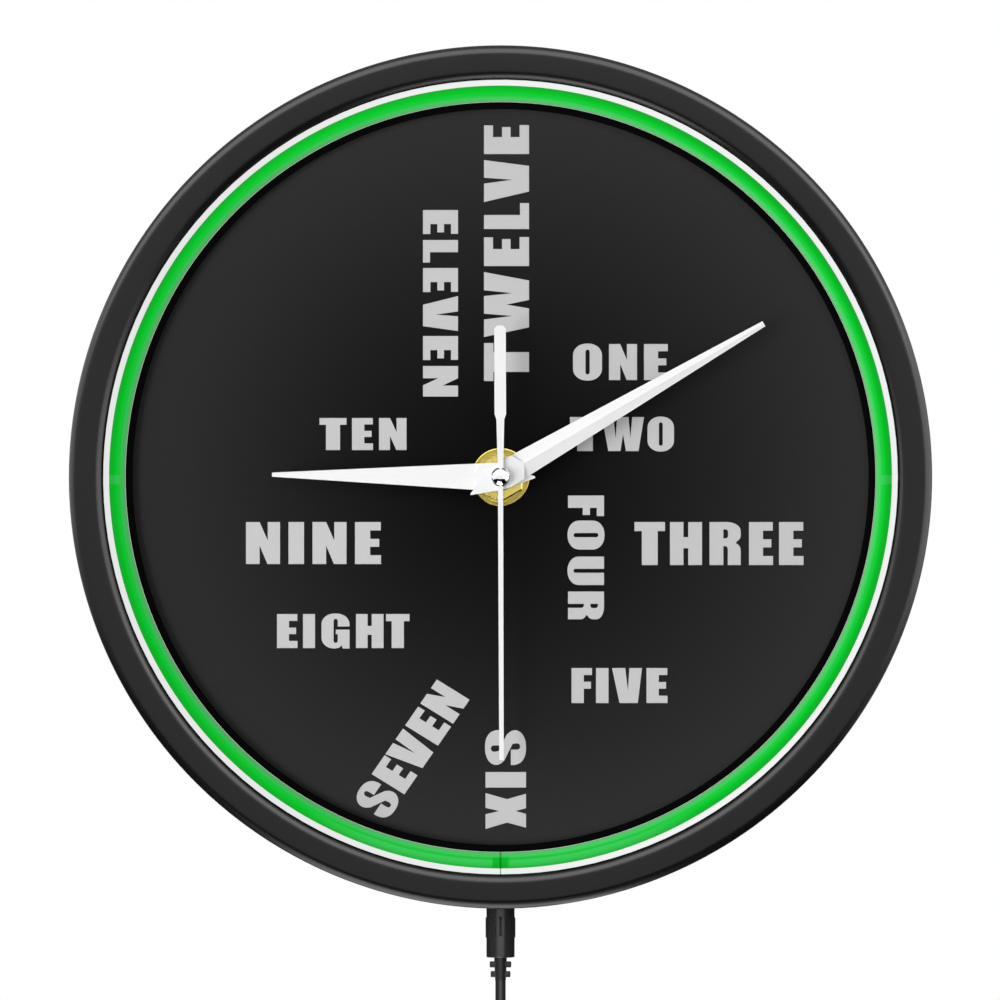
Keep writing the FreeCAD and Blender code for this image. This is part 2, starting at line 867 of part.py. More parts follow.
def led_wires():
    return Part.makeCompound([disc(wire_radius, board_front, channel_floor, x, z) for x, z in wire_places])


def dc_plug():
    barrel_end = jack_face + barrel_length
    body = rod(plug_radius, at(0, plug_depth, relief_top), at(0, plug_depth, plug_top))
    barrel = rod(barrel_radius, at(0, plug_depth, plug_top - fit), at(0, plug_depth, barrel_end))
    bore = rod(pin_radius + running, at(0, plug_depth, jack_face - pin_inset), at(0, plug_depth, barrel_end + fit))
    return joined(body, barrel).cut(bore)


def strain_relief():
    # A core with pairs of side tabs, as a moulded flexing relief has.
    core = Part.makeCone(relief_radius, cord_diameter / 2, relief_length, at(0, plug_depth, relief_top), -upward)
    half_depth = relief_tab_thickness / 2
    tabs = [square(half, plug_depth - half_depth, plug_depth + half_depth, relief_top - end, relief_top - start)
            for start, end, half in relief_tabs]
    return joined(core, *tabs)


def cord_lead():
    path = smooth_path([
        at(0, plug_depth, lead_top),
        at(0, plug_depth, lead_top - lead_drop),
        at(outer_shell, back_layer, coil_z + lead_end),
        at(outer_shell, back_layer, coil_z),
    ])
    circle = Part.makeCircle(cord_diameter / 2, at(0, plug_depth, lead_top), -upward)
    lead = path.makePipeShell([Part.Wire(circle)], True, False)
    section = math.pi * cord_diameter**2 / 4
    print("lead", round(path.Length, 1), "mm, volume over section times length",
          round(lead.Volume / (path.Length * section), 4))
    return lead


def cord_coil():
    coil = ring(coil_inner_radius, coil_outer, coil_back, coil_front, 0, coil_z)
    turns = [coil_inner_radius + cord_diameter * (k + 0.5) for k in range(coil_shells)]
    print("coil", round(2 * math.pi * coil_layers * sum(turns)), "mm of lead")
    return coil


def cord_tie():
    # Round the coil's left side, snug against its back and front.
    left = -coil_outer
    right = -coil_inner_radius
    low = coil_z - tie_width / 2
    high = coil_z + tie_width / 2
    band = box(left - tie_thickness, right + 2 * tie_thickness, coil_back - tie_thickness,
               coil_front + tie_thickness, low, high)
    return band.cut(box(left, right + tie_thickness, coil_back, coil_front, low, high))


def cord_tail():
    return rod(cord_diameter / 2, at(outer_shell, front_layer, tail_top), at(outer_shell, front_layer, usb_top))


def usb_plug():
    x = outer_shell
    d = front_layer
    body_end = usb_top - usb_length
    body = box(x - usb_width / 2, x + usb_width / 2, d - usb_thickness / 2, d + usb_thickness / 2, body_end, usb_top)
    half_width = shell_width / 2
    half_thickness = shell_thickness / 2
    shell = box(x - half_width, x + half_width, d - half_thickness, d + half_thickness,
                body_end - shell_length, body_end)
    mouth = box(x - half_width + shell_wall, x + half_width - shell_wall, d - half_thickness + shell_wall,
                d + tongue_back, body_end - shell_length, body_end)
    return joined(body, shell.cut(mouth))


pieces = (
    front_bezel, rear_case, dial_plate, dial_trim_ring, light_channel, light_tube, led_strip, leds,
    movement_case, movement_cover, movement_plate, rubber_washer, brass_washer, hex_nut, rotor, fifth_wheel,
    second_wheel, third_wheel, centre_wheel, minute_pipe, motion_wheel, hour_wheel, setting_knob, stator,
    coil_core, coil_bobbin, circuit_board, crystal, battery, battery_contact_plus, battery_contact_minus,
    hour_hand, minute_hand, second_hand, hand_cap, driver_board, dc_jack, led_wires, dc_plug, strain_relief,
    cord_lead, cord_coil, cord_tie, cord_tail, usb_plug,
)
os.makedirs("parts", exist_ok=True)
for piece in pieces:
    placed = piece()
    placed.translate(upward * -hang_rise)
    if not placed.isValid():
        raise ValueError(piece.__name__ + " isn't a valid solid")
    placed.exportStep("parts/" + piece.__name__ + ".step")
    print(f"{piece.__name__:24s}{len(placed.Solids):4d} solids{placed.Volume:12.2f} mm3")
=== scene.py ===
import bmesh
import bpy
import math
from mathutils import Matrix, Vector


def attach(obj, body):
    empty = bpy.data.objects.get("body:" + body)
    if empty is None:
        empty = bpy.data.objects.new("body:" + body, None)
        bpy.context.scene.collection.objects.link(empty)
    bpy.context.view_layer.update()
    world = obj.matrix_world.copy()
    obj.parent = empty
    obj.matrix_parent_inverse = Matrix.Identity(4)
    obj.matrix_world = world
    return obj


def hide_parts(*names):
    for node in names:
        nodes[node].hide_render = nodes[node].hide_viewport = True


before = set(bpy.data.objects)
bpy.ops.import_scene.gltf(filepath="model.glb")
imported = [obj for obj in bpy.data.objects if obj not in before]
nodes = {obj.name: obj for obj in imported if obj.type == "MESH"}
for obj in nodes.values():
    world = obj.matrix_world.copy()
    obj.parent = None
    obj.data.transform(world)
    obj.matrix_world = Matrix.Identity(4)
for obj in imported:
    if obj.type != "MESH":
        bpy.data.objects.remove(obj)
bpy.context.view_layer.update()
scene = bpy.context.scene
mm = 0.001
axisHeight = -0.092   # the hands' axis below the wall screw


def place(x, depth, z):
    # millimetres from the hands' axis, depth measured from the wall towards the viewer
    return Vector((x * mm, -depth * mm, axisHeight + z * mm))


# camera
view = {"lens": 400, "sensor": 36, "distance": 3.27, "focusDepth": 37, "aimX": -0.15, "aimZ": -6.77}
cameraData = bpy.data.cameras.new("camera")
cameraData.lens = view["lens"]
cameraData.sensor_width = view["sensor"]
cameraData.clip_end = 20
camera = bpy.data.objects.new("camera", cameraData)
scene.collection.objects.link(camera)
camera.location = place(view["aimX"], view["focusDepth"], view["aimZ"]) + Vector((0, -view["distance"], 0))
camera.rotation_euler = (math.pi / 2, 0, 0)
scene.camera = camera
print("camera ready")


class Value:
    # a shader socket that takes part in sums
    def __init__(self, finish, socket):
        self.finish = finish
        self.socket = socket

    def math(self, operation, *terms, clamp=False):
        settings = {"operation": operation, "use_clamp": clamp}
        node = self.finish.add("ShaderNodeMath", settings, dict(enumerate(terms)))
        return Value(self.finish, node.outputs[0])

    def __add__(self, other):
        return self.math("ADD", self, other)

    def __radd__(self, other):
        return self.math("ADD", other, self)

    def __sub__(self, other):
        return self.math("SUBTRACT", self, other)

    def __mul__(self, other):
        return self.math("MULTIPLY", self, other)

    def __pow__(self, other):
        return self.math("POWER", self, other)

    def root(self):
        return self.math("SQRT", self)

    def __lt__(self, other):
        return self.math("LESS_THAN", self, other)

    def ramp(self, low, high):
        # 0 at low, 1 at high, straight between them
        return self.math("MULTIPLY_ADD", self, 1 / (high - low), -low / (high - low), clamp=True)


class Finish:
    # a material and its principled shader
    def __init__(self, name, sockets):
        self.material = bpy.data.materials.new(name)
        self.material.use_nodes = True
        self.tree = self.material.node_tree
        self.shader = self.tree.nodes["Principled BSDF"]
        self.plug(self.shader, sockets)

    def add(self, kind, settings, sockets):
        node = self.tree.nodes.new(kind)
        for key, value in settings.items():
            if key == "stops":
                while len(node.color_ramp.elements) < len(value):
                    node.color_ramp.elements.new(0.5)
                for element, (position, colour) in zip(node.color_ramp.elements, value):
                    element.position = position
                    element.color = (*colour, 1)
            else:
                setattr(node, key, value)
        self.plug(node, sockets)
        return node

    def plug(self, node, sockets):
        for key, value in sockets.items():
            socket = node.inputs[key]
            if isinstance(value, Value):
                self.tree.links.new(value.socket, socket)
            elif isinstance(value, bpy.types.NodeSocket):
                self.tree.links.new(value, socket)
            elif socket.type == "RGBA":
                socket.default_value = (*value, 1)
            else:
                socket.default_value = value

    def where(self):
        # object coordinates in millimetres, as x, depth and height from the hands' axis
        source = self.add("ShaderNodeTexCoord", {}, {})
        split = self.add("ShaderNodeSeparateXYZ", {}, {0: source.outputs["Object"]})
        x, y, z = (Value(self, split.outputs[k]) for k in range(3))
        return x * 1000, y * -1000, (z - axisHeight) * 1000

    def noise(self, scale, detail=3):
        source = self.add("ShaderNodeTexCoord", {}, {})
        sockets = {"Vector": source.outputs["Object"], "Scale": scale, "Detail": detail}
        return Value(self, self.add("ShaderNodeTexNoise", {}, sockets).outputs[0])

    def mix(self, factor, first, second):
        node = self.add("ShaderNodeMix", {"data_type": "RGBA"}, {})
        for key, value in (("Factor_Float", factor), ("A_Color", first), ("B_Color", second)):
            socket = next(s for s in node.inputs if s.identifier == key)
            if isinstance(value, Value):
                self.tree.links.new(value.socket, socket)
            elif isinstance(value, bpy.types.NodeSocket):
                self.tree.links.new(value, socket)
            else:
                socket.default_value = value if key == "Factor_Float" else (*value, 1)
        return node.outputs[2]

    def bump(self, height, strength, distance=0.0001):
        node = self.add("ShaderNodeBump", {}, {"Strength": strength, "Distance": distance, "Height": height})
        self.plug(self.shader, {"Normal": node.outputs[0]})


cloudScale = 60   # how fine the mottling of a moulded surface is


def shade(*levels):
    # a screen colour of 0 to 255 as the linear one that a shader takes
    return tuple((v / 255 + 0.055) ** 2.4 / 1.055 ** 2.4 if v > 10 else v / 3295 for v in levels)


def moulded(name, colour, roughness, level, grain, depth=0.15, spread=0.08, metal=0.0, wear=0.12):
    # an even surface with a fine grain, faint mottling in its colour and gloss
    finish = Finish(name, {"Metallic": metal, "Specular IOR Level": level})
    cloud = finish.noise(cloudScale)
    darker = [c * (1 - spread) for c in colour]
    paler = [min(1, c * (1 + spread)) for c in colour]
    finish.plug(finish.shader, {
        "Base Color": finish.mix(cloud, darker, paler),
        "Roughness": roughness - wear / 2 + cloud * wear,
    })
    finish.bump(finish.noise(grain, 2), depth)
    return finish


# finishes
bezelBlack = moulded("bezelBlack", (0.0012, 0.0012, 0.0012), 0.28, 0.3, 3500, 0.02, 0.08, 0.0, 0.03)
backBlack = moulded("backBlack", (0.020, 0.020, 0.021), 0.62, 0.3, 1800, 0.3)
trimBlack = moulded("trimBlack", (0.003, 0.003, 0.003), 0.6, 0.0, 3000, 0.05)
movementBlack = moulded("movementBlack", (0.018, 0.018, 0.019), 0.55, 0.4, 1500, 0.35)
rubberBlack = moulded("rubberBlack", (0.015, 0.015, 0.015), 0.8, 0.25, 1200, 0.3)
gearNatural = moulded("gearNatural", (0.80, 0.77, 0.68), 0.42, 0.5, 900, 0.1, 0.04)
gearRed = moulded("gearRed", (0.42, 0.03, 0.025), 0.4, 0.5, 900, 0.1)
brightSteel = moulded("brightSteel", (0.56, 0.56, 0.57), 0.3, 0.5, 700, 0.1, 0.1, 1.0)
windingCopper = moulded("windingCopper", (0.62, 0.24, 0.09), 0.32, 0.5, 1500, 0.4, 0.1, 0.7)
boardGreen = moulded("boardGreen", (0.02, 0.12, 0.045), 0.35, 0.5, 500, 0.1, 0.15)
stripWhite = moulded("stripWhite", (0.72, 0.72, 0.69), 0.5, 0.4, 700, 0.1, 0.04)
lampGreen = moulded("lampGreen", (0.10, 0.75, 0.16), 0.25, 0.5, 900, 0.05, 0.1)
plugBlack = moulded("plugBlack", (0.012, 0.012, 0.012), 0.3, 1.0, 2500, 0.05)
reliefBlack = moulded("reliefBlack", (0.011, 0.011, 0.011), 0.35, 0.6, 2500, 0.05)
cordBlack = moulded("cordBlack", (0.012, 0.012, 0.012), 0.3, 1.0, 3000, 0.04)
handWhite = moulded("handWhite", (0.87, 0.87, 0.87), 0.42, 0.25, 2500, 0.03, 0.01)
wordGrey = moulded("wordGrey", shade(198, 198, 198), 0.7, 0.1, 3500, 0.1, 0.015)


dialLook = {"from": 8, "to": 108, "bend": 1.6, "middle": 0.0025, "rise": 0.026, "grain": 0.25, "blue": 1.01}


def dialFinish():
    # satin black, darkest in the middle and paler towards its edge
    finish = Finish("dialBlack", {"Specular IOR Level": 0.02, "Roughness": 0.6})
    x, depth, z = finish.where()
    radius = (x * x + z * z).root()
    fade = radius.ramp(dialLook["from"], dialLook["to"]) ** dialLook["bend"]
    grain = finish.noise(2500, 2)
    tone = fade * dialLook["rise"] + dialLook["middle"]
    tone = tone + tone * (grain - 0.5) * dialLook["grain"]
    colour = finish.add("ShaderNodeCombineColor", {}, {0: tone, 1: tone, 2: tone * dialLook["blue"]})
    finish.plug(finish.shader, {"Base Color": colour.outputs[0]})
    finish.bump(grain, 0.05)
    return finish


def paintedGlowFinish():
    # white plastic with a painted white glow that lifts the shade in its recess, with the fine line where its
    # ends meet
    finish = Finish("paintedGlowWhite", {"Specular IOR Level": 0.2, "Roughness": 0.6, "Emission Strength": 0.72})
    x, depth, z = finish.where()
    cloud = finish.noise(cloudScale)
    seam = (x * x).ramp(0.06, 0.01) * (z < 0) * 0.6
    body = finish.mix(cloud, (0.20, 0.20, 0.20), (0.22, 0.22, 0.22))
    finish.plug(finish.shader, {
        "Base Color": finish.mix(seam, body, (0.02, 0.02, 0.02)),
        "Emission Color": finish.mix(seam, (1.0, 1.0, 1.0), (0.05, 0.05, 0.05)),
    })
    finish.bump(finish.noise(1500, 2), 0.05)
    return finish


tubeLook = {
    # rings of colour between the inner and outer radius, all round and along the bottom: the tube's green glow
    # with painted highlight and shade across its round section
    "inner": 110.6, "outer": 115.4,
    "glowAndSheenBands": [
        (0.0, (112, 184, 120)), (0.135, (76, 196, 98)), (0.257, (62, 202, 88)), (0.38, (32, 198, 66)),
        (0.5, (20, 208, 54)), (0.64, (7, 208, 42)), (0.86, (26, 200, 52)), (1.0, (40, 180, 66)),
    ],
    "lowGlowAndSheenBands": [
        (0.0, (112, 194, 122)), (0.12, (81, 207, 102)), (0.27, (62, 207, 92)), (0.35, (36, 196, 68)),
        (0.42, (36, 196, 68)), (0.5, (60, 209, 88)), (0.8, (58, 203, 86)), (1.0, (40, 186, 66)),
    ],
    "paintedSideReflection": (55, 205, 82), "lowMark": (13, 187, 45), "dimming": 0.6,
}


def tubeFinish():
    # a lit tube: its green glow carries painted highlight and shade across its round section, pale beside the
    # dial and deep green outside, with a painted reflection at its sides and a deeper green patch and its joint
    # at the bottom.
    # Ramps of a square count alike on both sides of the middle.
    finish = Finish("tubeGreen", {"Roughness": 0.5, "Specular IOR Level": 0.0, "Emission Strength": 0.62})
    x, depth, z = finish.where()
    radius = (x * x + z * z).root()
    cloud = finish.noise(90)
    across = (radius + (cloud - 0.5) * 0.2).ramp(tubeLook["inner"], tubeLook["outer"])
    glowAndSheenBands, low = (
        finish.add("ShaderNodeValToRGB", {"stops": [(at, shade(*tone)) for at, tone in tubeLook[key]]},
                   {0: across})
        for key in ("glowAndSheenBands", "lowGlowAndSheenBands")
    )
    colour = finish.mix((z * -1).ramp(98, 108), glowAndSheenBands.outputs[0], low.outputs[0])
    # a painted reflection: paler green on the outer part of the tube at its sides
    side = ((z + 0.8) * (z + 0.8)).ramp(2.4, 1.2) * radius.ramp(111.9, 112.3)
    colour = finish.mix(side, colour, shade(*tubeLook["paintedSideReflection"]))
    patch = (x * x).ramp(7.5, 4.0) * (z < 0) * radius.ramp(111.7, 112.4)
    colour = finish.mix(patch, colour, shade(*tubeLook["lowMark"]))
    seam = (x * x).ramp(0.14, 0.0) * (z < 0) * 0.55
    colour = finish.mix(seam, colour, (0, 0.01, 0))
    lit = finish.mix(tubeLook["dimming"], colour, (0, 0, 0))
    finish.plug(finish.shader, {"Base Color": lit, "Emission Color": colour})
    finish.bump(cloud, 0.04)
    return finish


turningPitch = 26   # radians of the turning marks to a millimetre


def brassFinish(name, dark, bright):
    # turned brass: fine rings round the hands' axis
    finish = Finish(name, {"Metallic": 1.0})
    x, depth, z = finish.where()
    radius = (x * x + z * z).root()
    rings = radius.math("SINE", radius * turningPitch)
    cloud = finish.noise(700)
    finish.plug(finish.shader, {
        "Base Color": finish.mix(cloud, dark, bright),
        "Roughness": 0.2 + cloud * 0.12,
    })
    finish.bump(rings * 0.5 + cloud, 0.12)
    return finish


def cellFinish():
    # a dark sleeve with a warm band at the positive end
    finish = Finish("cellSleeve", {"Metallic": 0.6, "Roughness": 0.3})
    x, depth, z = finish.where()
    cloud = finish.noise(300)
    body = finish.mix(cloud, (0.018, 0.018, 0.02), (0.03, 0.03, 0.032))
    body = finish.mix(x.ramp(9.4, 9.6), body, (0.50, 0.24, 0.05))
    body = finish.mix(x.ramp(24.9, 25.05), body, (0.55, 0.55, 0.56))
    finish.plug(finish.shader, {"Base Color": body})
    finish.bump(cloud, 0.05)
    return finish


def chromeFinish():
    # polished, with the faintest unevenness
    finish = Finish("polishedChrome", {"Metallic": 1.0, "Base Color": (0.86, 0.87, 0.88)})
    cloud = finish.noise(900)
    finish.plug(finish.shader, {"Roughness": 0.05 + cloud * 0.05})
    finish.bump(cloud, 0.02)
    return finish


dialBlack = dialFinish()
paintedGlowWhite = paintedGlowFinish()
tubeGreen = tubeFinish()
turnedBrass = brassFinish("turnedBrass", (0.36, 0.29, 0.06), (0.52, 0.43, 0.11))
nutBrass = brassFinish("nutBrass", (0.60, 0.47, 0.10), (0.76, 0.63, 0.19))
cellSleeve = cellFinish()
polishedChrome = chromeFinish()
print("finishes ready")

# solids that keep their own shape
kept = {
    "rear_case": backBlack, "dial_plate": dialBlack, "light_channel": paintedGlowWhite, "led_strip": stripWhite,
    "leds": lampGreen, "movement_case": movementBlack, "movement_cover": movementBlack,
    "movement_plate": gearNatural, "rubber_washer": rubberBlack, "rotor": gearRed,
    "fifth_wheel": gearNatural, "second_wheel": gearNatural, "third_wheel": gearNatural,
    "centre_wheel": gearNatural, "minute_pipe": turnedBrass, "motion_wheel": gearNatural,
    "hour_wheel": gearNatural, "setting_knob": gearRed, "stator": brightSteel, "coil_core": brightSteel,
    "coil_bobbin": windingCopper, "circuit_board": boardGreen, "crystal": brightSteel, "battery": cellSleeve,
    "battery_contact_plus": brightSteel, "battery_contact_minus": brightSteel, "second_hand": handWhite,
    "driver_board": boardGreen, "dc_jack": movementBlack, "led_wires": rubberBlack, "cord_tie": rubberBlack,
}
for name, finish in kept.items():
    nodes[name].data.materials.clear()
    nodes[name].data.materials.append(finish.material)


def addPiece(name, mesh, finish, body="case", replaced=(), sharp=35):
    # a smooth piece with edges over `sharp` degrees left sharp, on its body and in place of its solids
    bmesh.ops.recalc_face_normals(mesh, faces=mesh.faces)
    data = bpy.data.meshes.new(name)
    mesh.to_mesh(data)
    mesh.free()
    data.polygons.foreach_set("use_smooth", [True] * len(data.polygons))
    data.set_sharp_from_angle(angle=math.radians(sharp))
    data.materials.append(finish.material)
    piece = bpy.data.objects.new(name, data)
    scene.collection.objects.link(piece)
    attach(piece, body)
    if replaced:
        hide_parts(*replaced)
    return piece


def soften(mesh, edges, width, segments):
    # rounds edges, or chamfers them with one segment
    bmesh.ops.bevel(mesh, geom=edges, offset=width * mm, offset_type="OFFSET", segments=segments, profile=0.5,
                    affect="EDGES", material=-1)


def onlyVerts(geom):
    return [item for item in geom if isinstance(item, bmesh.types.BMVert)]


def raiseFaces(mesh, faces, move):
    # extrudes faces by a vector
    made = bmesh.ops.extrude_face_region(mesh, geom=faces)["geom"]
    bmesh.ops.translate(mesh, verts=onlyVerts(made), vec=move)


def turnVerts(mesh, verts, angle, axis, centre=(0, 0, 0)):
    bmesh.ops.rotate(mesh, verts=verts, cent=centre, matrix=Matrix.Rotation(angle, 3, axis))


def spinProfile(profile, centre, axis, steps=192, sweep=360.0, first=0.0, rounds=()):
    # turns a closed outline of (radius, distance along the axis) and rounds the corners that `rounds` names
    mesh = bmesh.new()
    along = Vector(axis)
    out = Vector((1, 0, 0))
    verts = [mesh.verts.new(centre + out * (radius * mm) + along * (far * mm)) for radius, far in profile]
    edges = [mesh.edges.new(pair) for pair in zip(verts, verts[1:] + verts[:1])]
    full = sweep == 360.0
    bmesh.ops.spin(mesh, geom=verts + edges, cent=centre, axis=along, angle=math.radians(sweep), steps=steps,
                   use_merge=full)
    bmesh.ops.remove_doubles(mesh, verts=mesh.verts, dist=1e-7)
    if not full:
        bmesh.ops.holes_fill(mesh, edges=[e for e in mesh.edges if e.is_boundary], sides=0)
        turnVerts(mesh, mesh.verts, math.radians(first), along, centre)
    for radius, far, width in rounds:
        corner = []
        for edge in mesh.edges:
            hits = 0
            for vert in edge.verts:
                reach = vert.co - centre
                distance = reach.dot(along)
                away = (reach - along * distance).length
                hits += abs(distance - far * mm) < nearEnough and abs(away - radius * mm) < nearEnough
            if hits == 2:
                corner.append(edge)
        soften(mesh, corner, width, roundSegments)
    return mesh


def addBlock(mesh, low, high, width=0.0, segments=2):
    # a block between two corners, its edges rounded
    made = bmesh.ops.create_cube(mesh, size=1.0)["verts"]
    size = high - low
    bmesh.ops.scale(mesh, vec=(abs(size.x), abs(size.y), abs(size.z)), verts=made)
    bmesh.ops.translate(mesh, vec=(low + high) / 2, verts=made)
    if width:
        soften(mesh, list({edge for vert in made for edge in vert.link_edges}), width, segments)


forward = (0, -1, 0)
upward = (0, 0, 1)
hub = place(0, 0, 0)
nearEnough = 1e-6   # metres, to find a corner by its place
rimSlack = 0.1      # millimetres, to find the edges of a front or back face
roundSegments = 6


def rolled(radius, far, width, tilt, out, steps=10):
    # a rounded corner that leaves the flat front and ends at `tilt` degrees, towards the outside for out 1
    bend = width / math.sin(math.radians(tilt))
    points = []
    for k in range(steps + 1):
        angle = math.radians(tilt) * k / steps
        points.append((radius + out * (bend * math.sin(angle) - width), far - bend * (1 - math.cos(angle))))
    return points


# bezel
bezel = {
    "outer": 127.0, "opening": 117.3, "skirt": 119.3, "inner": 125.0, "back": 16.0, "front": 40.0,
    "skirtBack": 27.6, "wall": 2.0, "undercut": 0.4, "outerRound": 2.8, "outerTilt": 60, "innerRound": 2.65,
    "innerTilt": 54, "steps": 240,
}
bezelMesh = spinProfile(
    [(bezel["outer"], bezel["back"])]
    + rolled(bezel["outer"], bezel["front"], bezel["outerRound"], bezel["outerTilt"], 1)[::-1]
    + rolled(bezel["opening"], bezel["front"], bezel["innerRound"], bezel["innerTilt"], -1)
    + [(bezel["opening"] + bezel["undercut"], bezel["skirtBack"]), (bezel["skirt"], bezel["skirtBack"]),
       (bezel["skirt"], bezel["front"] - bezel["wall"]), (bezel["inner"], bezel["front"] - bezel["wall"]),
       (bezel["inner"], bezel["back"])],
    hub, forward, bezel["steps"],
)
addPiece("bezelRing", bezelMesh, bezelBlack, replaced=["front_bezel"])

# trim between the dial and the light
trim = {"inner": 108.5, "outer": 110.5, "back": 29.0, "front": 33.0, "round": 0.2, "steps": 240}
trimMesh = spinProfile(
    [(trim["inner"], trim["back"]), (trim["inner"], trim["front"]), (trim["outer"], trim["front"]),
     (trim["outer"], trim["back"])],
    hub, forward, trim["steps"],
    rounds=[(trim["inner"], trim["front"], trim["round"]), (trim["outer"], trim["front"], trim["round"])],
)
addPiece("dialTrim", trimMesh, trimBlack, replaced=["dial_trim_ring"])

# light tube, flat where it sits on the lamps
tube = {"ring": 113.0, "radius": 2.4, "centre": 32.1, "flat": 2.0, "sides": 28, "steps": 300}
lift = -math.asin(tube["flat"] / tube["radius"])
tubeProfile = []
for k in range(tube["sides"] + 1):
    angle = lift + (math.pi - 2 * lift) * k / tube["sides"]
    across, rise = tube["radius"] * math.cos(angle), tube["radius"] * math.sin(angle)
    tubeProfile.append((tube["ring"] + across, tube["centre"] + rise))
tubeMesh = spinProfile(tubeProfile, hub, forward, tube["steps"])
addPiece("lightTube", tubeMesh, tubeGreen, replaced=["light_tube"], sharp=50)
print("bezel, trim and light done")

# hub: washer with a groove, nut and cap
washer = {"hole": 4.1, "outer": 8.55, "back": 31.0, "front": 31.8, "steps": 96, "round": 0.22,
          "grooveFrom": 7.2, "grooveTo": 7.9, "groove": 0.15}
washerMesh = spinProfile(
    [(washer["hole"], washer["back"]), (washer["hole"], washer["front"]),
     (washer["grooveFrom"], washer["front"]),
     (washer["grooveFrom"] + washer["groove"], washer["front"] - washer["groove"]),
     (washer["grooveTo"] - washer["groove"], washer["front"] - washer["groove"]),
     (washer["grooveTo"], washer["front"]), (washer["outer"], washer["front"]),
     (washer["outer"], washer["back"])],
    hub, forward, washer["steps"], rounds=[(washer["outer"], washer["front"], washer["round"])],
)
addPiece("brassWasher", washerMesh, turnedBrass, replaced=["brass_washer"])

nut = {"across": 13.0, "back": 31.8, "front": 34.2, "chamfer": 0.45}
nutMesh = bmesh.new()
corner = nut["across"] / math.sqrt(3) * mm
bmesh.ops.create_cone(nutMesh, cap_ends=True, segments=6, radius1=corner, radius2=corner,
                      depth=(nut["front"] - nut["back"]) * mm)
turnVerts(nutMesh, nutMesh.verts, math.pi / 2, "X")
lowest = min(nutMesh.verts, key=lambda vert: vert.co.z)
turnVerts(nutMesh, nutMesh.verts, math.atan2(lowest.co.x, -lowest.co.z), "Y")
bmesh.ops.translate(nutMesh, verts=nutMesh.verts, vec=place(0, (nut["front"] + nut["back"]) / 2, 0))
frontRim = -(nut["front"] - rimSlack) * mm
soften(nutMesh, [edge for edge in nutMesh.edges if all(vert.co.y < frontRim for vert in edge.verts)],
       nut["chamfer"], 1)
addPiece("hexNut", nutMesh, nutBrass, replaced=["hex_nut"], sharp=20)

cap = {"radius": 2.85, "back": 37.9, "edge": 0.35, "rise": 1.65, "sides": 18, "steps": 64}
capRadius = (cap["radius"] ** 2 + cap["rise"] ** 2) / (2 * cap["rise"])
capSpan = math.asin(cap["radius"] / capRadius)
capProfile = [(0.0, cap["back"]), (cap["radius"], cap["back"])]
for k in range(cap["sides"] + 1):
    angle = capSpan * (1 - k / cap["sides"])
    height = cap["back"] + cap["edge"] + cap["rise"] - capRadius * (1 - math.cos(angle))
    capProfile.append((capRadius * math.sin(angle), height))
capMesh = spinProfile(capProfile, hub, forward, cap["steps"])
addPiece("chromeCap", capMesh, polishedChrome, "second_train", ["hand_cap"])

# hour and minute hands: a flat hub with a pointed tail, and a blade with a facet on each side of its ridge
def cutOff(mesh, point, normal):
    # takes away what lies on the normal's side and closes the cut
    everything = mesh.verts[:] + mesh.edges[:] + mesh.faces[:]
    bmesh.ops.bisect_plane(mesh, geom=everything, plane_co=point, plane_no=normal, clear_outer=True)
    bmesh.ops.holes_fill(mesh, edges=[e for e in mesh.edges if e.is_boundary], sides=0)


def addSheet(mesh, outline, low, high):
    face = mesh.faces.new([mesh.verts.new((x * mm, low * mm, z * mm)) for x, z in outline])
    raiseFaces(mesh, [face], (0, (high - low) * mm, 0))


tailTip, hubRise = 0.22, 0.005   # half the tail's width, and how far the hub stands above the ridge


def makeHand(name, body, node, size):
    # drawn along +X with the wall at y = 0, then turned and set in its place
    length, half, tip, edge, ridge = (size[key] for key in ("length", "half", "tip", "edge", "ridge"))
    start, crestStart = size["bladeStart"], size["ridgeStart"]
    startHalf = half + (tip - half) * (start - size["shoulder"]) / (length - size["shoulder"])
    blade = bmesh.new()
    addSheet(blade, [(start, -startHalf), (length, -tip), (length, tip), (start, startHalf)], 0, ridge)
    crest = Vector((crestStart, ridge, 0)) * mm
    for side in (1, -1):
        root = Vector((start, edge, startHalf * side)) * mm
        end = Vector((length, edge, tip * side)) * mm
        normal = (root - crest).cross(end - crest) * side
        cutOff(blade, crest, normal if normal.y > 0 else -normal)
    bmesh.ops.recalc_face_normals(blade, faces=blade.faces)
    hand = bmesh.new()
    right = [(start, startHalf), (size["shoulder"], half), size["waist"], (-size["tail"], tailTip)]
    addSheet(hand, [(crestStart, 0)] + right + [(x, -z) for x, z in reversed(right)], 0, ridge + hubRise)
    bladeData = bpy.data.meshes.new(name + "Blade")
    blade.to_mesh(bladeData)
    blade.free()
    hand.from_mesh(bladeData)
    bpy.data.meshes.remove(bladeData)
    bmesh.ops.scale(hand, vec=(1, -1, 1), verts=hand.verts)
    turnVerts(hand, hand.verts, math.radians(size["angle"]), forward)
    bmesh.ops.translate(hand, verts=hand.verts, vec=place(0, size["base"], 0))
    addPiece(name, hand, handWhite, body, [node], sharp=4)


makeHand("hourHand", "hour_train", "hour_hand", {
    "length": 67.3, "half": 4.2, "tip": 0.6, "edge": 0.06, "ridge": 0.89, "base": 35.0, "angle": 179.4,
    "shoulder": 1.3, "waist": (-1.1, 3.57), "tail": 10.2, "bladeStart": 5.8, "ridgeStart": 8.2,
})
makeHand("minuteHand", "minute_train", "minute_hand", {
    "length": 89.7, "half": 4.1, "tip": 0.85, "edge": 0.06, "ridge": 0.89, "base": 36.2, "angle": 30.2,
    "shoulder": 1.3, "waist": (-0.6, 3.8), "tail": 10.2, "bladeStart": 5.8, "ridgeStart": 8.2,
})
print("hands done")

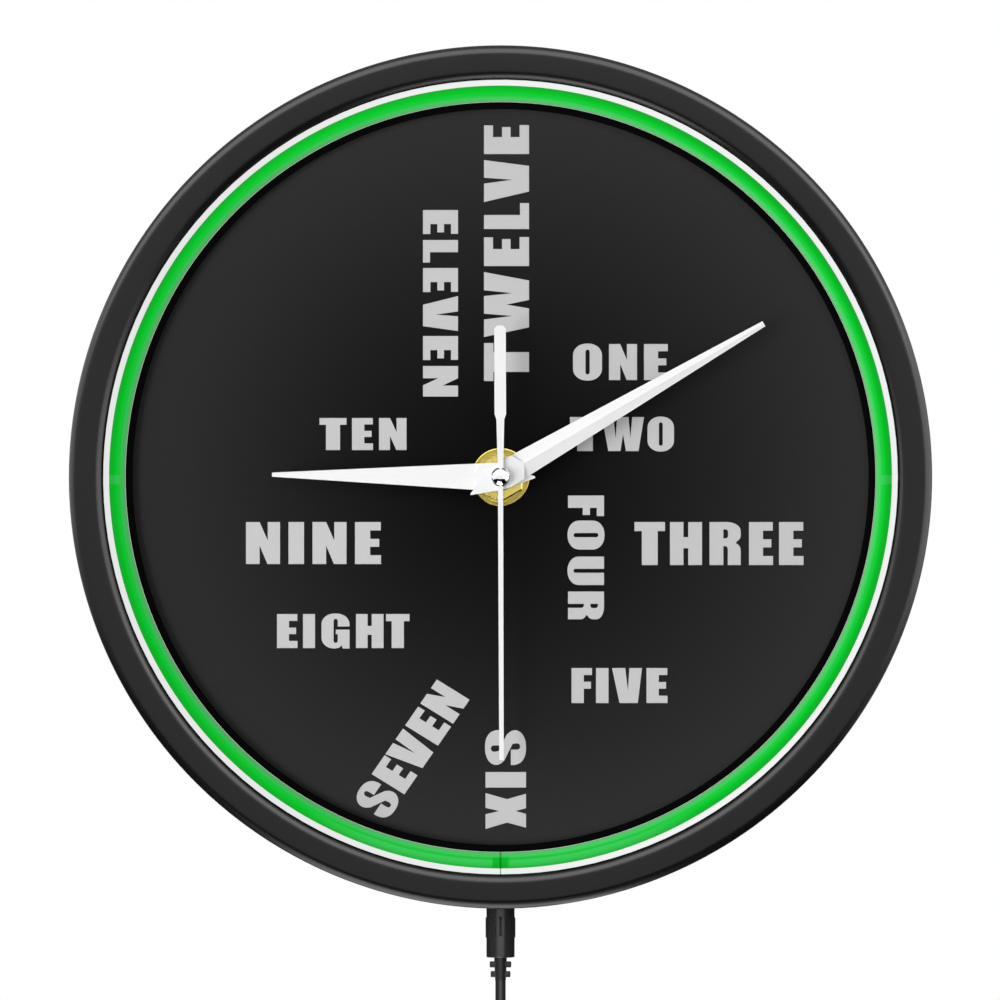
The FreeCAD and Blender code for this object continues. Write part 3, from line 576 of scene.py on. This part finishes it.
# words on the dial. Each letter is drawn in a unit box, then stretched to its own place.
def bow(x, y, across, up, start, end, steps=7):
    points = []
    for k in range(steps + 1):
        angle = math.radians(start + (end - start) * k / steps)
        points.append((x + across * math.cos(angle), y + up * math.sin(angle)))
    return points


def roundBox(left, right, low, high, across, up):
    return (
        bow(right - across, high - up, across, up, 0, 90) + bow(left + across, high - up, across, up, 90, 180)
        + bow(left + across, low + up, across, up, 180, 270)
        + bow(right - across, low + up, across, up, 270, 360)
    )


halfS = (
    [(1, 0.63), (1, 0.72)] + bow(0.55, 0.75, 0.43, 0.25, 12, 90) + bow(0.45, 0.73, 0.45, 0.27, 90, 205)
    + [(0.13, 0.53)]
)
hookS = [(0.60, 0.33), (0.62, 0.24)] + bow(0.53, 0.21, 0.09, 0.07, 0, -180, 5) + [(0.44, 0.37)]
letters = {
    "E": [[(0, 0), (1, 0), (1, 0.21), (0.585, 0.21), (0.585, 0.41), (0.93, 0.41), (0.93, 0.60), (0.585, 0.60),
           (0.585, 0.80), (0.99, 0.80), (0.99, 1), (0, 1)]],
    "F": [[(0, 0), (0.6, 0), (0.6, 0.41), (0.95, 0.41), (0.95, 0.61), (0.6, 0.61), (0.6, 0.80), (1, 0.80),
           (1, 1), (0, 1)]],
    "H": [[(0, 0), (0.42, 0), (0.42, 0.39), (0.57, 0.39), (0.57, 0), (1, 0), (1, 1), (0.57, 1), (0.57, 0.65),
           (0.42, 0.65), (0.42, 1), (0, 1)]],
    "I": [[(0, 0), (1, 0), (1, 1), (0, 1)]],
    "L": [[(0, 0), (1, 0), (1, 0.2), (0.54, 0.2), (0.54, 1), (0, 1)]],
    "N": [[(0, 0), (0.40, 0), (0.40, 0.44), (0.63, 0), (1, 0), (1, 1), (0.64, 1), (0.64, 0.56), (0.40, 1),
           (0, 1)]],
    "T": [[(0.24, 0), (0.76, 0), (0.76, 0.79), (1, 0.79), (1, 1), (0, 1), (0, 0.79), (0.24, 0.79)]],
    "V": [[(0.25, 0), (0.86, 0), (1, 1), (0.58, 1), (0.53, 0.36), (0.44, 1), (0, 1)]],
    "W": [[(0.15, 0), (0.44, 0), (0.5, 0.5), (0.57, 0), (0.87, 0), (1, 1), (0.72, 1), (0.675, 0.37), (0.63, 1),
           (0.36, 1), (0.325, 0.37), (0.27, 1), (0, 1)]],
    "X": [[(0, 0), (0.41, 0), (0.50, 0.34), (0.59, 0), (1, 0), (0.82, 0.53), (0.96, 1), (0.58, 1), (0.50, 0.74),
           (0.42, 1), (0.02, 1), (0.17, 0.53)]],
    "O": [roundBox(0, 1, 0, 1, 0.47, 0.31), roundBox(0.43, 0.575, 0.165, 0.835, 0.072, 0.06)],
    "U": [[(0, 1)] + bow(0.47, 0.30, 0.47, 0.30, 180, 270) + bow(0.53, 0.30, 0.47, 0.30, 270, 360)
          + [(1, 1), (0.57, 1)] + bow(0.5, 0.22, 0.07, 0.06, 0, -180, 5) + [(0.43, 1)]],
    "R": [[(0, 0), (0.44, 0), (0.44, 0.44)] + bow(0.50, 0.37, 0.08, 0.07, 90, 0, 3)
          + [(0.58, 0), (0.99, 0)] + bow(0.79, 0.34, 0.20, 0.17, 0, 75, 4)
          + bow(0.72, 0.69, 0.27, 0.17, -60, 0, 4) + bow(0.56, 0.79, 0.43, 0.21, 0, 90) + [(0, 1)],
          [(0.44, 0.62)] + bow(0.50, 0.68, 0.09, 0.06, -90, 0, 3)
          + bow(0.50, 0.77, 0.09, 0.06, 0, 90, 3) + [(0.44, 0.83)]],
    "G": [[(1, 0), (1, 0.54), (0.51, 0.54), (0.51, 0.41), (0.58, 0.41)]
          + bow(0.505, 0.22, 0.075, 0.06, 0, -180, 5)
          + bow(0.505, 0.79, 0.075, 0.06, 180, 0, 5) + [(0.58, 0.63), (1, 0.63)]
          + bow(0.55, 0.70, 0.45, 0.30, 0, 90) + bow(0.45, 0.70, 0.45, 0.30, 90, 180)
          + bow(0.45, 0.30, 0.45, 0.30, 180, 272) + [(0.62, 0.02), (0.72, 0.09), (0.76, 0)]],
    "S": [halfS + hookS + [(1 - x, 1 - y) for x, y in halfS + hookS]],
}
printing = {
    # the layout's middle, and millimetres to one of its steps at the dial's distance from the eye
    "front": 31.0, "thickness": 0.05, "scale": 0.2943 * 3.276 / 3.27, "originX": 500.5, "originZ": 477.0,
}
slant = {"middleX": 411, "middleZ": 750, "turn": math.radians(55.4), "lean": -0.049}


def level(right, down):
    # from the layout, in steps to the right and down, to (x, z) on the dial
    return (right - printing["originX"]) * printing["scale"], (printing["originZ"] - down) * printing["scale"]


def upright(down, right):
    # for a word that runs up or down
    return level(right, down)


def slanted(along, up):
    # runs up and to the right about its own middle, its letters leaning back a little
    across = along + slant["lean"] * up
    cosine, sine = math.cos(slant["turn"]), math.sin(slant["turn"])
    return level(slant["middleX"] + across * cosine - up * sine, slant["middleZ"] - across * sine - up * cosine)


words = {
    # how the word runs, then each letter's left, right, foot and head along it
    "ONE": (level, [("O", 573, 602, 380.5, 343.5), ("N", 609, 637, 380, 344), ("E", 644, 668, 380, 344)]),
    "TWO": (level, [("T", 570, 600, 451, 417), ("W", 602, 644, 451, 417), ("O", 647.5, 674, 451.5, 416.5)]),
    "THREE": (level, [("T", 634.5, 665, 565, 522), ("H", 670, 702, 565, 522), ("R", 709.5, 741, 565, 522),
                      ("E", 749, 773, 565, 522), ("E", 779, 803.5, 565, 522)]),
    "FOUR": (upright, [("F", 495.5, 516, 568, 604), ("O", 520.5, 549.5, 567.5, 604.5),
                       ("U", 556.5, 585, 567.5, 604), ("R", 591.5, 619.5, 568, 604)]),
    "FIVE": (level, [("F", 571.5, 592, 703, 668), ("I", 596, 608.5, 703, 668), ("V", 612, 642, 703, 668),
                     ("E", 646.5, 667.5, 703, 668)]),
    "SIX": (upright, [("S", 730, 765, 485, 526), ("I", 772, 787.5, 485.5, 526), ("X", 793, 829, 485.5, 526)]),
    "EIGHT": (level, [("E", 277, 297.5, 648, 614), ("I", 303, 315, 648, 614), ("G", 321.5, 349.5, 648.5, 613.5),
                      ("H", 356, 383.5, 648, 614), ("T", 386, 409.5, 648, 614)]),
    "NINE": (level, [("N", 246, 280, 564, 522), ("I", 288.5, 304, 564, 522), ("N", 312.5, 346.5, 564, 522),
                     ("E", 355, 381, 564, 522)]),
    "TEN": (level, [("T", 319.5, 346.5, 450, 418), ("E", 352, 373, 450, 418), ("N", 379, 406.5, 450, 418)]),
    "ELEVEN": (upright, [("E", 210, 234, 423, 458), ("L", 240, 262.5, 423, 458), ("E", 268, 292, 423, 458),
                         ("V", 296, 331, 423, 458), ("E", 336, 360, 423, 458), ("N", 366, 396.5, 423, 458)]),
    "TWELVE": (upright, [("T", 381, 343, 529, 484), ("W", 337, 272, 529, 484), ("E", 266, 237, 529, 484),
                         ("L", 229, 203, 529, 484), ("V", 202, 160, 529, 484), ("E", 154, 125, 529, 484)]),
    "SEVEN": (slanted, [("S", -74.1, -45.0, -20.9, 20.2), ("E", -41.2, -18.1, -19.7, 18.8),
                        ("V", -17.1, 14.1, -19.7, 18.8), ("E", 17.9, 41.0, -19.7, 18.8),
                        ("N", 44.6, 73.7, -19.7, 18.8)]),
}
for name, (runs, spots) in words.items():
    mesh = bmesh.new()
    for letter, left, right, foot, head in spots:
        edges = []
        for outline in letters[letter]:
            verts = []
            for x, y in outline:
                across, rise = runs(left + (right - left) * x, foot + (head - foot) * y)
                verts.append(mesh.verts.new(place(across, printing["front"], rise)))
            edges += [mesh.edges.new(pair) for pair in zip(verts, verts[1:] + verts[:1])]
        bmesh.ops.triangle_fill(mesh, edges=edges, use_beauty=True, use_dissolve=False)
    raiseFaces(mesh, mesh.faces, (0, -printing["thickness"] * mm, 0))
    addPiece("word" + name.title(), mesh, wordGrey)
print("words done")

# lead: plug, flexing relief, the lead itself and the supply plug
plugDepth = 8.9
lead = {"diameter": 3.1, "top": -149.1, "drop": 13.2, "lean": 16.0, "end": 13.0, "straight": 6, "inPlug": 0.5}
coil = {"inner": 14.0, "shells": 3, "layers": 4, "back": 1.5, "perTurn": 16, "shift": 0.25, "leave": 12}
coilHeight = lead["top"] - lead["drop"] - lead["lean"] - lead["end"]
outerShell = coil["inner"] + (coil["shells"] - 0.5) * lead["diameter"]
backLayer = coil["back"] + lead["diameter"] / 2
frontLayer = backLayer + (coil["layers"] - 1) * lead["diameter"]
slots = []   # the order in which the turns lie: out to in, a layer forward, in to out
for layer in range(coil["layers"]):
    shells = range(coil["shells"])
    for shell in (reversed(shells) if layer % 2 == 0 else shells):
        slots.append((coil["inner"] + (shell + 0.5) * lead["diameter"], backLayer + layer * lead["diameter"]))
route = [(0, plugDepth, lead["top"] + lead["inPlug"]), (0, plugDepth, lead["top"] - lead["straight"]),
         (0, plugDepth, lead["top"] - lead["drop"]), (outerShell, backLayer, coilHeight + lead["end"])]
for turnIndex, (radius, depth) in enumerate(slots):
    following = slots[min(turnIndex + 1, len(slots) - 1)]
    for k in range(coil["perTurn"]):
        share = k / coil["perTurn"]
        ease = max(0.0, (share - 1 + coil["shift"]) / coil["shift"])
        angle = -2 * math.pi * share
        r = radius + (following[0] - radius) * ease
        deep = depth + (following[1] - depth) * ease
        route.append((r * math.cos(angle), deep, coilHeight + r * math.sin(angle)))
usb = {
    "top": coilHeight - 24.0, "width": 16.0, "thickness": 8.0, "length": 27.0, "round": 1.6, "shellWidth": 12.0,
    "shellThickness": 4.5, "shellLength": 11.8, "shellSunk": 0.5, "wall": 0.4, "mouth": 10.5, "leadIn": 1,
    "tongueHalf": 5.5, "tongueBack": 1.8, "tongueFront": 0.1, "tongueRecess": 0.6, "tongueRound": 0.15,
}
route += [(outerShell, frontLayer, coilHeight), (outerShell, frontLayer, coilHeight - coil["leave"]),
          (outerShell, frontLayer, usb["top"] - usb["leadIn"])]
curve = bpy.data.curves.new("leadLine", "CURVE")
curve.dimensions = "3D"
curve.bevel_depth = lead["diameter"] / 2 * mm
curve.bevel_resolution = 5
curve.use_fill_caps = True
curve.resolution_u = 6
spline = curve.splines.new("NURBS")
spline.points.add(len(route) - 1)
for point, (x, depth, z) in zip(spline.points, route):
    point.co = (*place(x, depth, z), 1)
spline.order_u = 3
spline.use_endpoint_u = True
curve.materials.append(cordBlack.material)
leadLine = bpy.data.objects.new("leadLine", curve)
scene.collection.objects.link(leadLine)
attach(leadLine, "lead")
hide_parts("cord_lead", "cord_coil", "cord_tail")

plug = {
    "radius": 4.2, "top": -127.3, "bottom": -142.5, "round": 0.35, "barrel": 2.75, "barrelTop": -115.1,
    "bore": 1.07, "boreFloor": 6, "padRadius": 4.45, "padTop": -130.7, "padBottom": -136.6, "padSweep": 64,
    "sunk": 0.4, "steps": 64, "padSteps": 16,
}
plugCentre = place(0, plugDepth, 0)
plugMesh = spinProfile(
    [(plug["bore"], plug["bottom"] + plug["boreFloor"]), (plug["bore"], plug["barrelTop"]),
     (plug["barrel"], plug["barrelTop"]), (plug["barrel"], plug["top"]), (plug["radius"], plug["top"]),
     (plug["radius"], plug["bottom"]), (0.0, plug["bottom"]), (0.0, plug["bottom"] + plug["boreFloor"])],
    plugCentre, upward, plug["steps"],
    rounds=[(plug["radius"], plug["bottom"], plug["round"]), (plug["radius"], plug["top"], plug["round"])],
)
plugPiece = addPiece("plugBody", plugMesh, plugBlack, "lead", ["dc_plug"])

relief = {"coreTop": 1.9, "coreEnd": 1.62, "top": -142.4, "bottom": -149.3, "half": 1.05, "round": 0.3,
          "steps": 40, "tabs": [(-143.7, -145.5, 3.2), (-146.6, -148.4, 2.95)]}
reliefMesh = spinProfile(
    [(0.0, relief["top"]), (relief["coreTop"], relief["top"]), (relief["coreEnd"], relief["bottom"]),
     (0.0, relief["bottom"])],
    plugCentre, upward, relief["steps"],
)
for top, bottom, half in relief["tabs"]:
    addBlock(reliefMesh, place(-half, plugDepth - relief["half"], bottom),
             place(half, plugDepth + relief["half"], top), relief["round"], segments=3)

# grip: a raised pad on each side, a rim at the front with its slot as a dark block, painted shade where the
# groove is, and three rows of dots
grip = {
    "top": -130.4, "bottom": -135.9, "rim": 0.22, "rimHalf": 0.55, "rimProud": 0.03, "rimRound": 0.05,
    "shadeSlotHalf": 0.33, "shadeSlotProud": 0.05, "shadeSlotRound": 0.02, "dots": 8, "dotRadius": 0.2,
    "dotAngles": (-50.5, -22.7, 41.8),
}
padRoot = plug["radius"] - plug["sunk"]
gripMesh = spinProfile(
    [(padRoot, plug["padTop"]), (plug["padRadius"], plug["padTop"]), (plug["padRadius"], plug["padBottom"]),
     (padRoot, plug["padBottom"])],
    plugCentre, upward, plug["padSteps"], plug["padSweep"], -plug["padSweep"] / 2,
)
everything = gripMesh.verts[:] + gripMesh.edges[:] + gripMesh.faces[:]
otherPad = bmesh.ops.duplicate(gripMesh, geom=everything)["geom"]
turnVerts(gripMesh, onlyVerts(otherPad), math.pi, "Z", plugCentre)
addBlock(gripMesh, place(-grip["rimHalf"], plugDepth + padRoot, grip["bottom"] - grip["rim"]),
         place(grip["rimHalf"], plugDepth + plug["radius"] + grip["rimProud"], grip["top"] + grip["rim"]),
         grip["rimRound"])
for turn in grip["dotAngles"]:
    across, rise = math.sin(math.radians(turn)) * plug["radius"], math.cos(math.radians(turn)) * plug["radius"]
    for k in range(grip["dots"]):
        made = bmesh.ops.create_icosphere(gripMesh, subdivisions=2, radius=grip["dotRadius"] * mm)["verts"]
        height = plug["padTop"] - (k + 0.5) * (plug["padTop"] - plug["padBottom"]) / grip["dots"]
        bmesh.ops.translate(gripMesh, verts=made, vec=place(across, plugDepth + rise, height))
gripPiece = addPiece("plugGrip", gripMesh, plugBlack, "lead")
# the slot is a dark block a little proud of the rim: painted shade standing in for the groove
slotShadeMesh = bmesh.new()
addBlock(slotShadeMesh, place(-grip["shadeSlotHalf"], plugDepth + padRoot, grip["bottom"]),
         place(grip["shadeSlotHalf"], plugDepth + plug["radius"] + grip["shadeSlotProud"], grip["top"]),
         grip["shadeSlotRound"])
slotShadePiece = addPiece("plugSlotShade", slotShadeMesh, rubberBlack, "lead")
reliefPiece = addPiece("flexRelief", reliefMesh, reliefBlack, "lead", ["strain_relief"])

# supply plug at the far end: body, hollow shell and tongue
usbEnd = usb["top"] - usb["length"]
shellBottom = usbEnd - usb["shellLength"]
usbMesh = bmesh.new()
addBlock(usbMesh, place(outerShell - usb["width"] / 2, frontLayer - usb["thickness"] / 2, usbEnd),
         place(outerShell + usb["width"] / 2, frontLayer + usb["thickness"] / 2, usb["top"]), usb["round"],
         segments=5)
usbPiece = addPiece("usbBody", usbMesh, plugBlack, "lead", ["usb_plug"])
shellMesh = bmesh.new()
addBlock(shellMesh,
         place(outerShell - usb["shellWidth"] / 2, frontLayer - usb["shellThickness"] / 2, shellBottom),
         place(outerShell + usb["shellWidth"] / 2, frontLayer + usb["shellThickness"] / 2,
               usbEnd + usb["shellSunk"]))
mouthFaces = [face for face in shellMesh.faces if face.normal.z < -0.9]
bmesh.ops.inset_region(shellMesh, faces=mouthFaces, thickness=usb["wall"] * mm, use_even_offset=True)
raiseFaces(shellMesh, mouthFaces, (0, 0, usb["mouth"] * mm))
bmesh.ops.delete(shellMesh, geom=mouthFaces, context="FACES")
shellPiece = addPiece("usbShell", shellMesh, brightSteel, "lead")
tongueMesh = bmesh.new()
addBlock(tongueMesh,
         place(outerShell - usb["tongueHalf"], frontLayer - usb["tongueBack"],
               shellBottom + usb["tongueRecess"]),
         place(outerShell + usb["tongueHalf"], frontLayer - usb["tongueFront"], usbEnd), usb["tongueRound"])
tonguePiece = addPiece("usbTongue", tongueMesh, stripWhite, "lead")
tuple(place(0, plugDepth, relief["bottom"] + 0.5))
print("lead done")

# screws in the back, their cross slots as dark blocks: painted shade where the recesses are
screw = {"ring": 122.15, "radius": 2.1, "back": 1.3, "front": 2.9, "round": 0.35, "shadeSlotHalf": 0.225,
         "shadeSlotLength": 1.35, "shadeSlotProud": 0.02, "shadeSlotDepth": 0.4}
screwMesh = bmesh.new()
crossShadeMesh = bmesh.new()
for k in range(4):
    angle = math.radians(45 + 90 * k)
    x, z = screw["ring"] * math.cos(angle), screw["ring"] * math.sin(angle)
    head = bmesh.ops.create_cone(screwMesh, cap_ends=True, segments=32, radius1=screw["radius"] * mm,
                                 radius2=screw["radius"] * mm, depth=(screw["front"] - screw["back"]) * mm)
    turnVerts(screwMesh, head["verts"], math.pi / 2, "X")
    bmesh.ops.translate(screwMesh, verts=head["verts"], vec=place(x, (screw["front"] + screw["back"]) / 2, z))
    long, thin = screw["shadeSlotLength"], screw["shadeSlotHalf"]
    for half, rise in ((long, thin), (thin, long)):
        addBlock(crossShadeMesh, place(x - half, screw["back"] - screw["shadeSlotProud"], z - rise),
                 place(x + half, screw["back"] + screw["shadeSlotDepth"], z + rise))
backRim = -(screw["back"] + rimSlack) * mm
soften(screwMesh, [edge for edge in screwMesh.edges if all(vert.co.y > backRim for vert in edge.verts)],
       screw["round"], 3)
addPiece("screwHeads", screwMesh, brightSteel)
addPiece("screwSlotShade", crossShadeMesh, rubberBlack)
print("screws done")

# light: a white surround, soft lamps, black cards and a pale floor
surround = {"matt": 0.46, "seen": 1.0}
world = bpy.data.worlds.new("studio")
scene.world = world
world.use_nodes = True
tree = world.node_tree
tree.nodes.clear()
output = tree.nodes.new("ShaderNodeOutputWorld")
grounds = {}
for name, strength in surround.items():
    grounds[name] = tree.nodes.new("ShaderNodeBackground")
    grounds[name].inputs["Color"].default_value = (1, 1, 1, 1)
    grounds[name].inputs["Strength"].default_value = strength
path = tree.nodes.new("ShaderNodeLightPath")
watched = path.outputs["Is Camera Ray"]
for ray in ("Is Glossy Ray", "Is Transmission Ray"):
    either = tree.nodes.new("ShaderNodeMath")
    either.operation = "ADD"
    either.use_clamp = True
    tree.links.new(watched, either.inputs[0])
    tree.links.new(path.outputs[ray], either.inputs[1])
    watched = either.outputs[0]
blend = tree.nodes.new("ShaderNodeMixShader")
tree.links.new(watched, blend.inputs[0])
tree.links.new(grounds["matt"].outputs[0], blend.inputs[1])
tree.links.new(grounds["seen"].outputs[0], blend.inputs[2])
tree.links.new(blend.outputs[0], output.inputs["Surface"])

lamps = {
    # the key lights matt surfaces and gloss doesn't show it. The others only show in gloss, as strips do.
    "key": {"at": (-1.95, -1.15, -0.46), "size": (1.8, 1.8), "power": 66, "gloss": False},
    "above": {"at": (0, -1.16, 1.15), "size": (5.0, 1.44), "power": 106, "gloss": True},
    "below": {"at": (-0.2, -0.15, -1.5), "size": (1.16, 1.9), "power": 28, "gloss": True},
    "right": {"at": (1.6, -0.66, 0.05), "size": (2.5, 1.32), "power": 32, "gloss": True},
    "left": {"at": (-1.6, -0.1, 0.2), "size": (2.0, 1.05), "power": 13, "gloss": True},
}
middle = Vector((0, 0, axisHeight))
for name, lamp in lamps.items():
    data = bpy.data.lights.new(name, "AREA")
    data.shape = "RECTANGLE"
    data.energy = lamp["power"]
    data.size, data.size_y = lamp["size"]
    light = bpy.data.objects.new(name, data)
    scene.collection.objects.link(light)
    light.location = lamp["at"]
    light.rotation_euler = (middle - light.location).to_track_quat("-Z", "Y").to_euler()
    light.visible_camera = False
    light.visible_diffuse = not lamp["gloss"]
    light.visible_glossy = lamp["gloss"]

# black cards that only gloss shows: one below the front, two beside the lamp below and two beside the plug
cardBlack = moulded("cardBlack", (0.001, 0.001, 0.001), 0.9, 0.0, 50, 0.01)
cards = [
    ("lowCard", {"at": (0, -1.27, -0.89), "size": (3.0, 0.62), "facing": middle}),
    ("sideCard", {"at": (0.905, -0.4, -1.2), "size": (1.19, 3.2), "facing": (0.905, -0.4, 0)}),
    ("sideCard", {"at": (-1.81, -0.4, -1.2), "size": (2.38, 3.2), "facing": (-1.81, -0.4, 0)}),
    ("plugCard", {"at": (-0.012, -0.010, -0.237), "size": (0.044, 0.042), "facing": (0, -0.010, -0.237)}),
    ("plugCard", {"at": (0.012, -0.010, -0.237), "size": (0.044, 0.042), "facing": (0, -0.010, -0.237)}),
]


def addStage(name, mesh, finish):
    # what stands round the clock and isn't part of it
    data = bpy.data.meshes.new(name)
    mesh.to_mesh(data)
    mesh.free()
    data.materials.append(finish.material)
    thing = bpy.data.objects.new(name, data)
    scene.collection.objects.link(thing)
    return thing


for name, spot in cards:
    mesh = bmesh.new()
    bmesh.ops.create_grid(mesh, x_segments=1, y_segments=1, size=0.5)
    bmesh.ops.scale(mesh, vec=(*spot["size"], 1), verts=mesh.verts)
    turn = (Vector(spot["facing"]) - Vector(spot["at"])).to_track_quat("Z", "Y").to_matrix()
    bmesh.ops.rotate(mesh, verts=mesh.verts, cent=(0, 0, 0), matrix=turn)
    bmesh.ops.translate(mesh, verts=mesh.verts, vec=spot["at"])
    card = addStage(name, mesh, cardBlack)
    card.visible_camera = False
    card.visible_diffuse = False
    card.visible_shadow = False
    card.visible_transmission = False

# a pale floor. The eye and gloss see half of it as white, and the other half keeps the shadow.
floor = {"radius": 4, "height": -2, "glow": 0.5}
floorMesh = bmesh.new()
bmesh.ops.create_circle(floorMesh, cap_ends=True, segments=96, radius=floor["radius"])
bmesh.ops.translate(floorMesh, verts=floorMesh.verts, vec=(0, 0, floor["height"]))
floorPale = moulded("floorPale", (0.85, 0.85, 0.85), 0.7, 0.2, 200, 0.02, 0.01)
rays = floorPale.add("ShaderNodeLightPath", {}, {})
watched = Value(floorPale, rays.outputs["Is Camera Ray"]) + rays.outputs["Is Glossy Ray"]
watched = watched + rays.outputs["Is Transmission Ray"]
glow = floorPale.add("ShaderNodeEmission", {}, {"Color": (1, 1, 1), "Strength": 1.0})
both = floorPale.add("ShaderNodeMixShader", {}, {
    0: watched.ramp(0, 1) * floor["glow"], 1: floorPale.shader.outputs[0], 2: glow.outputs[0],
})
floorPale.plug(floorPale.tree.nodes["Material Output"], {"Surface": both.outputs[0]})
addStage("floor", floorMesh, floorPale)

scene.view_settings.view_transform = "Standard"
print("light done")
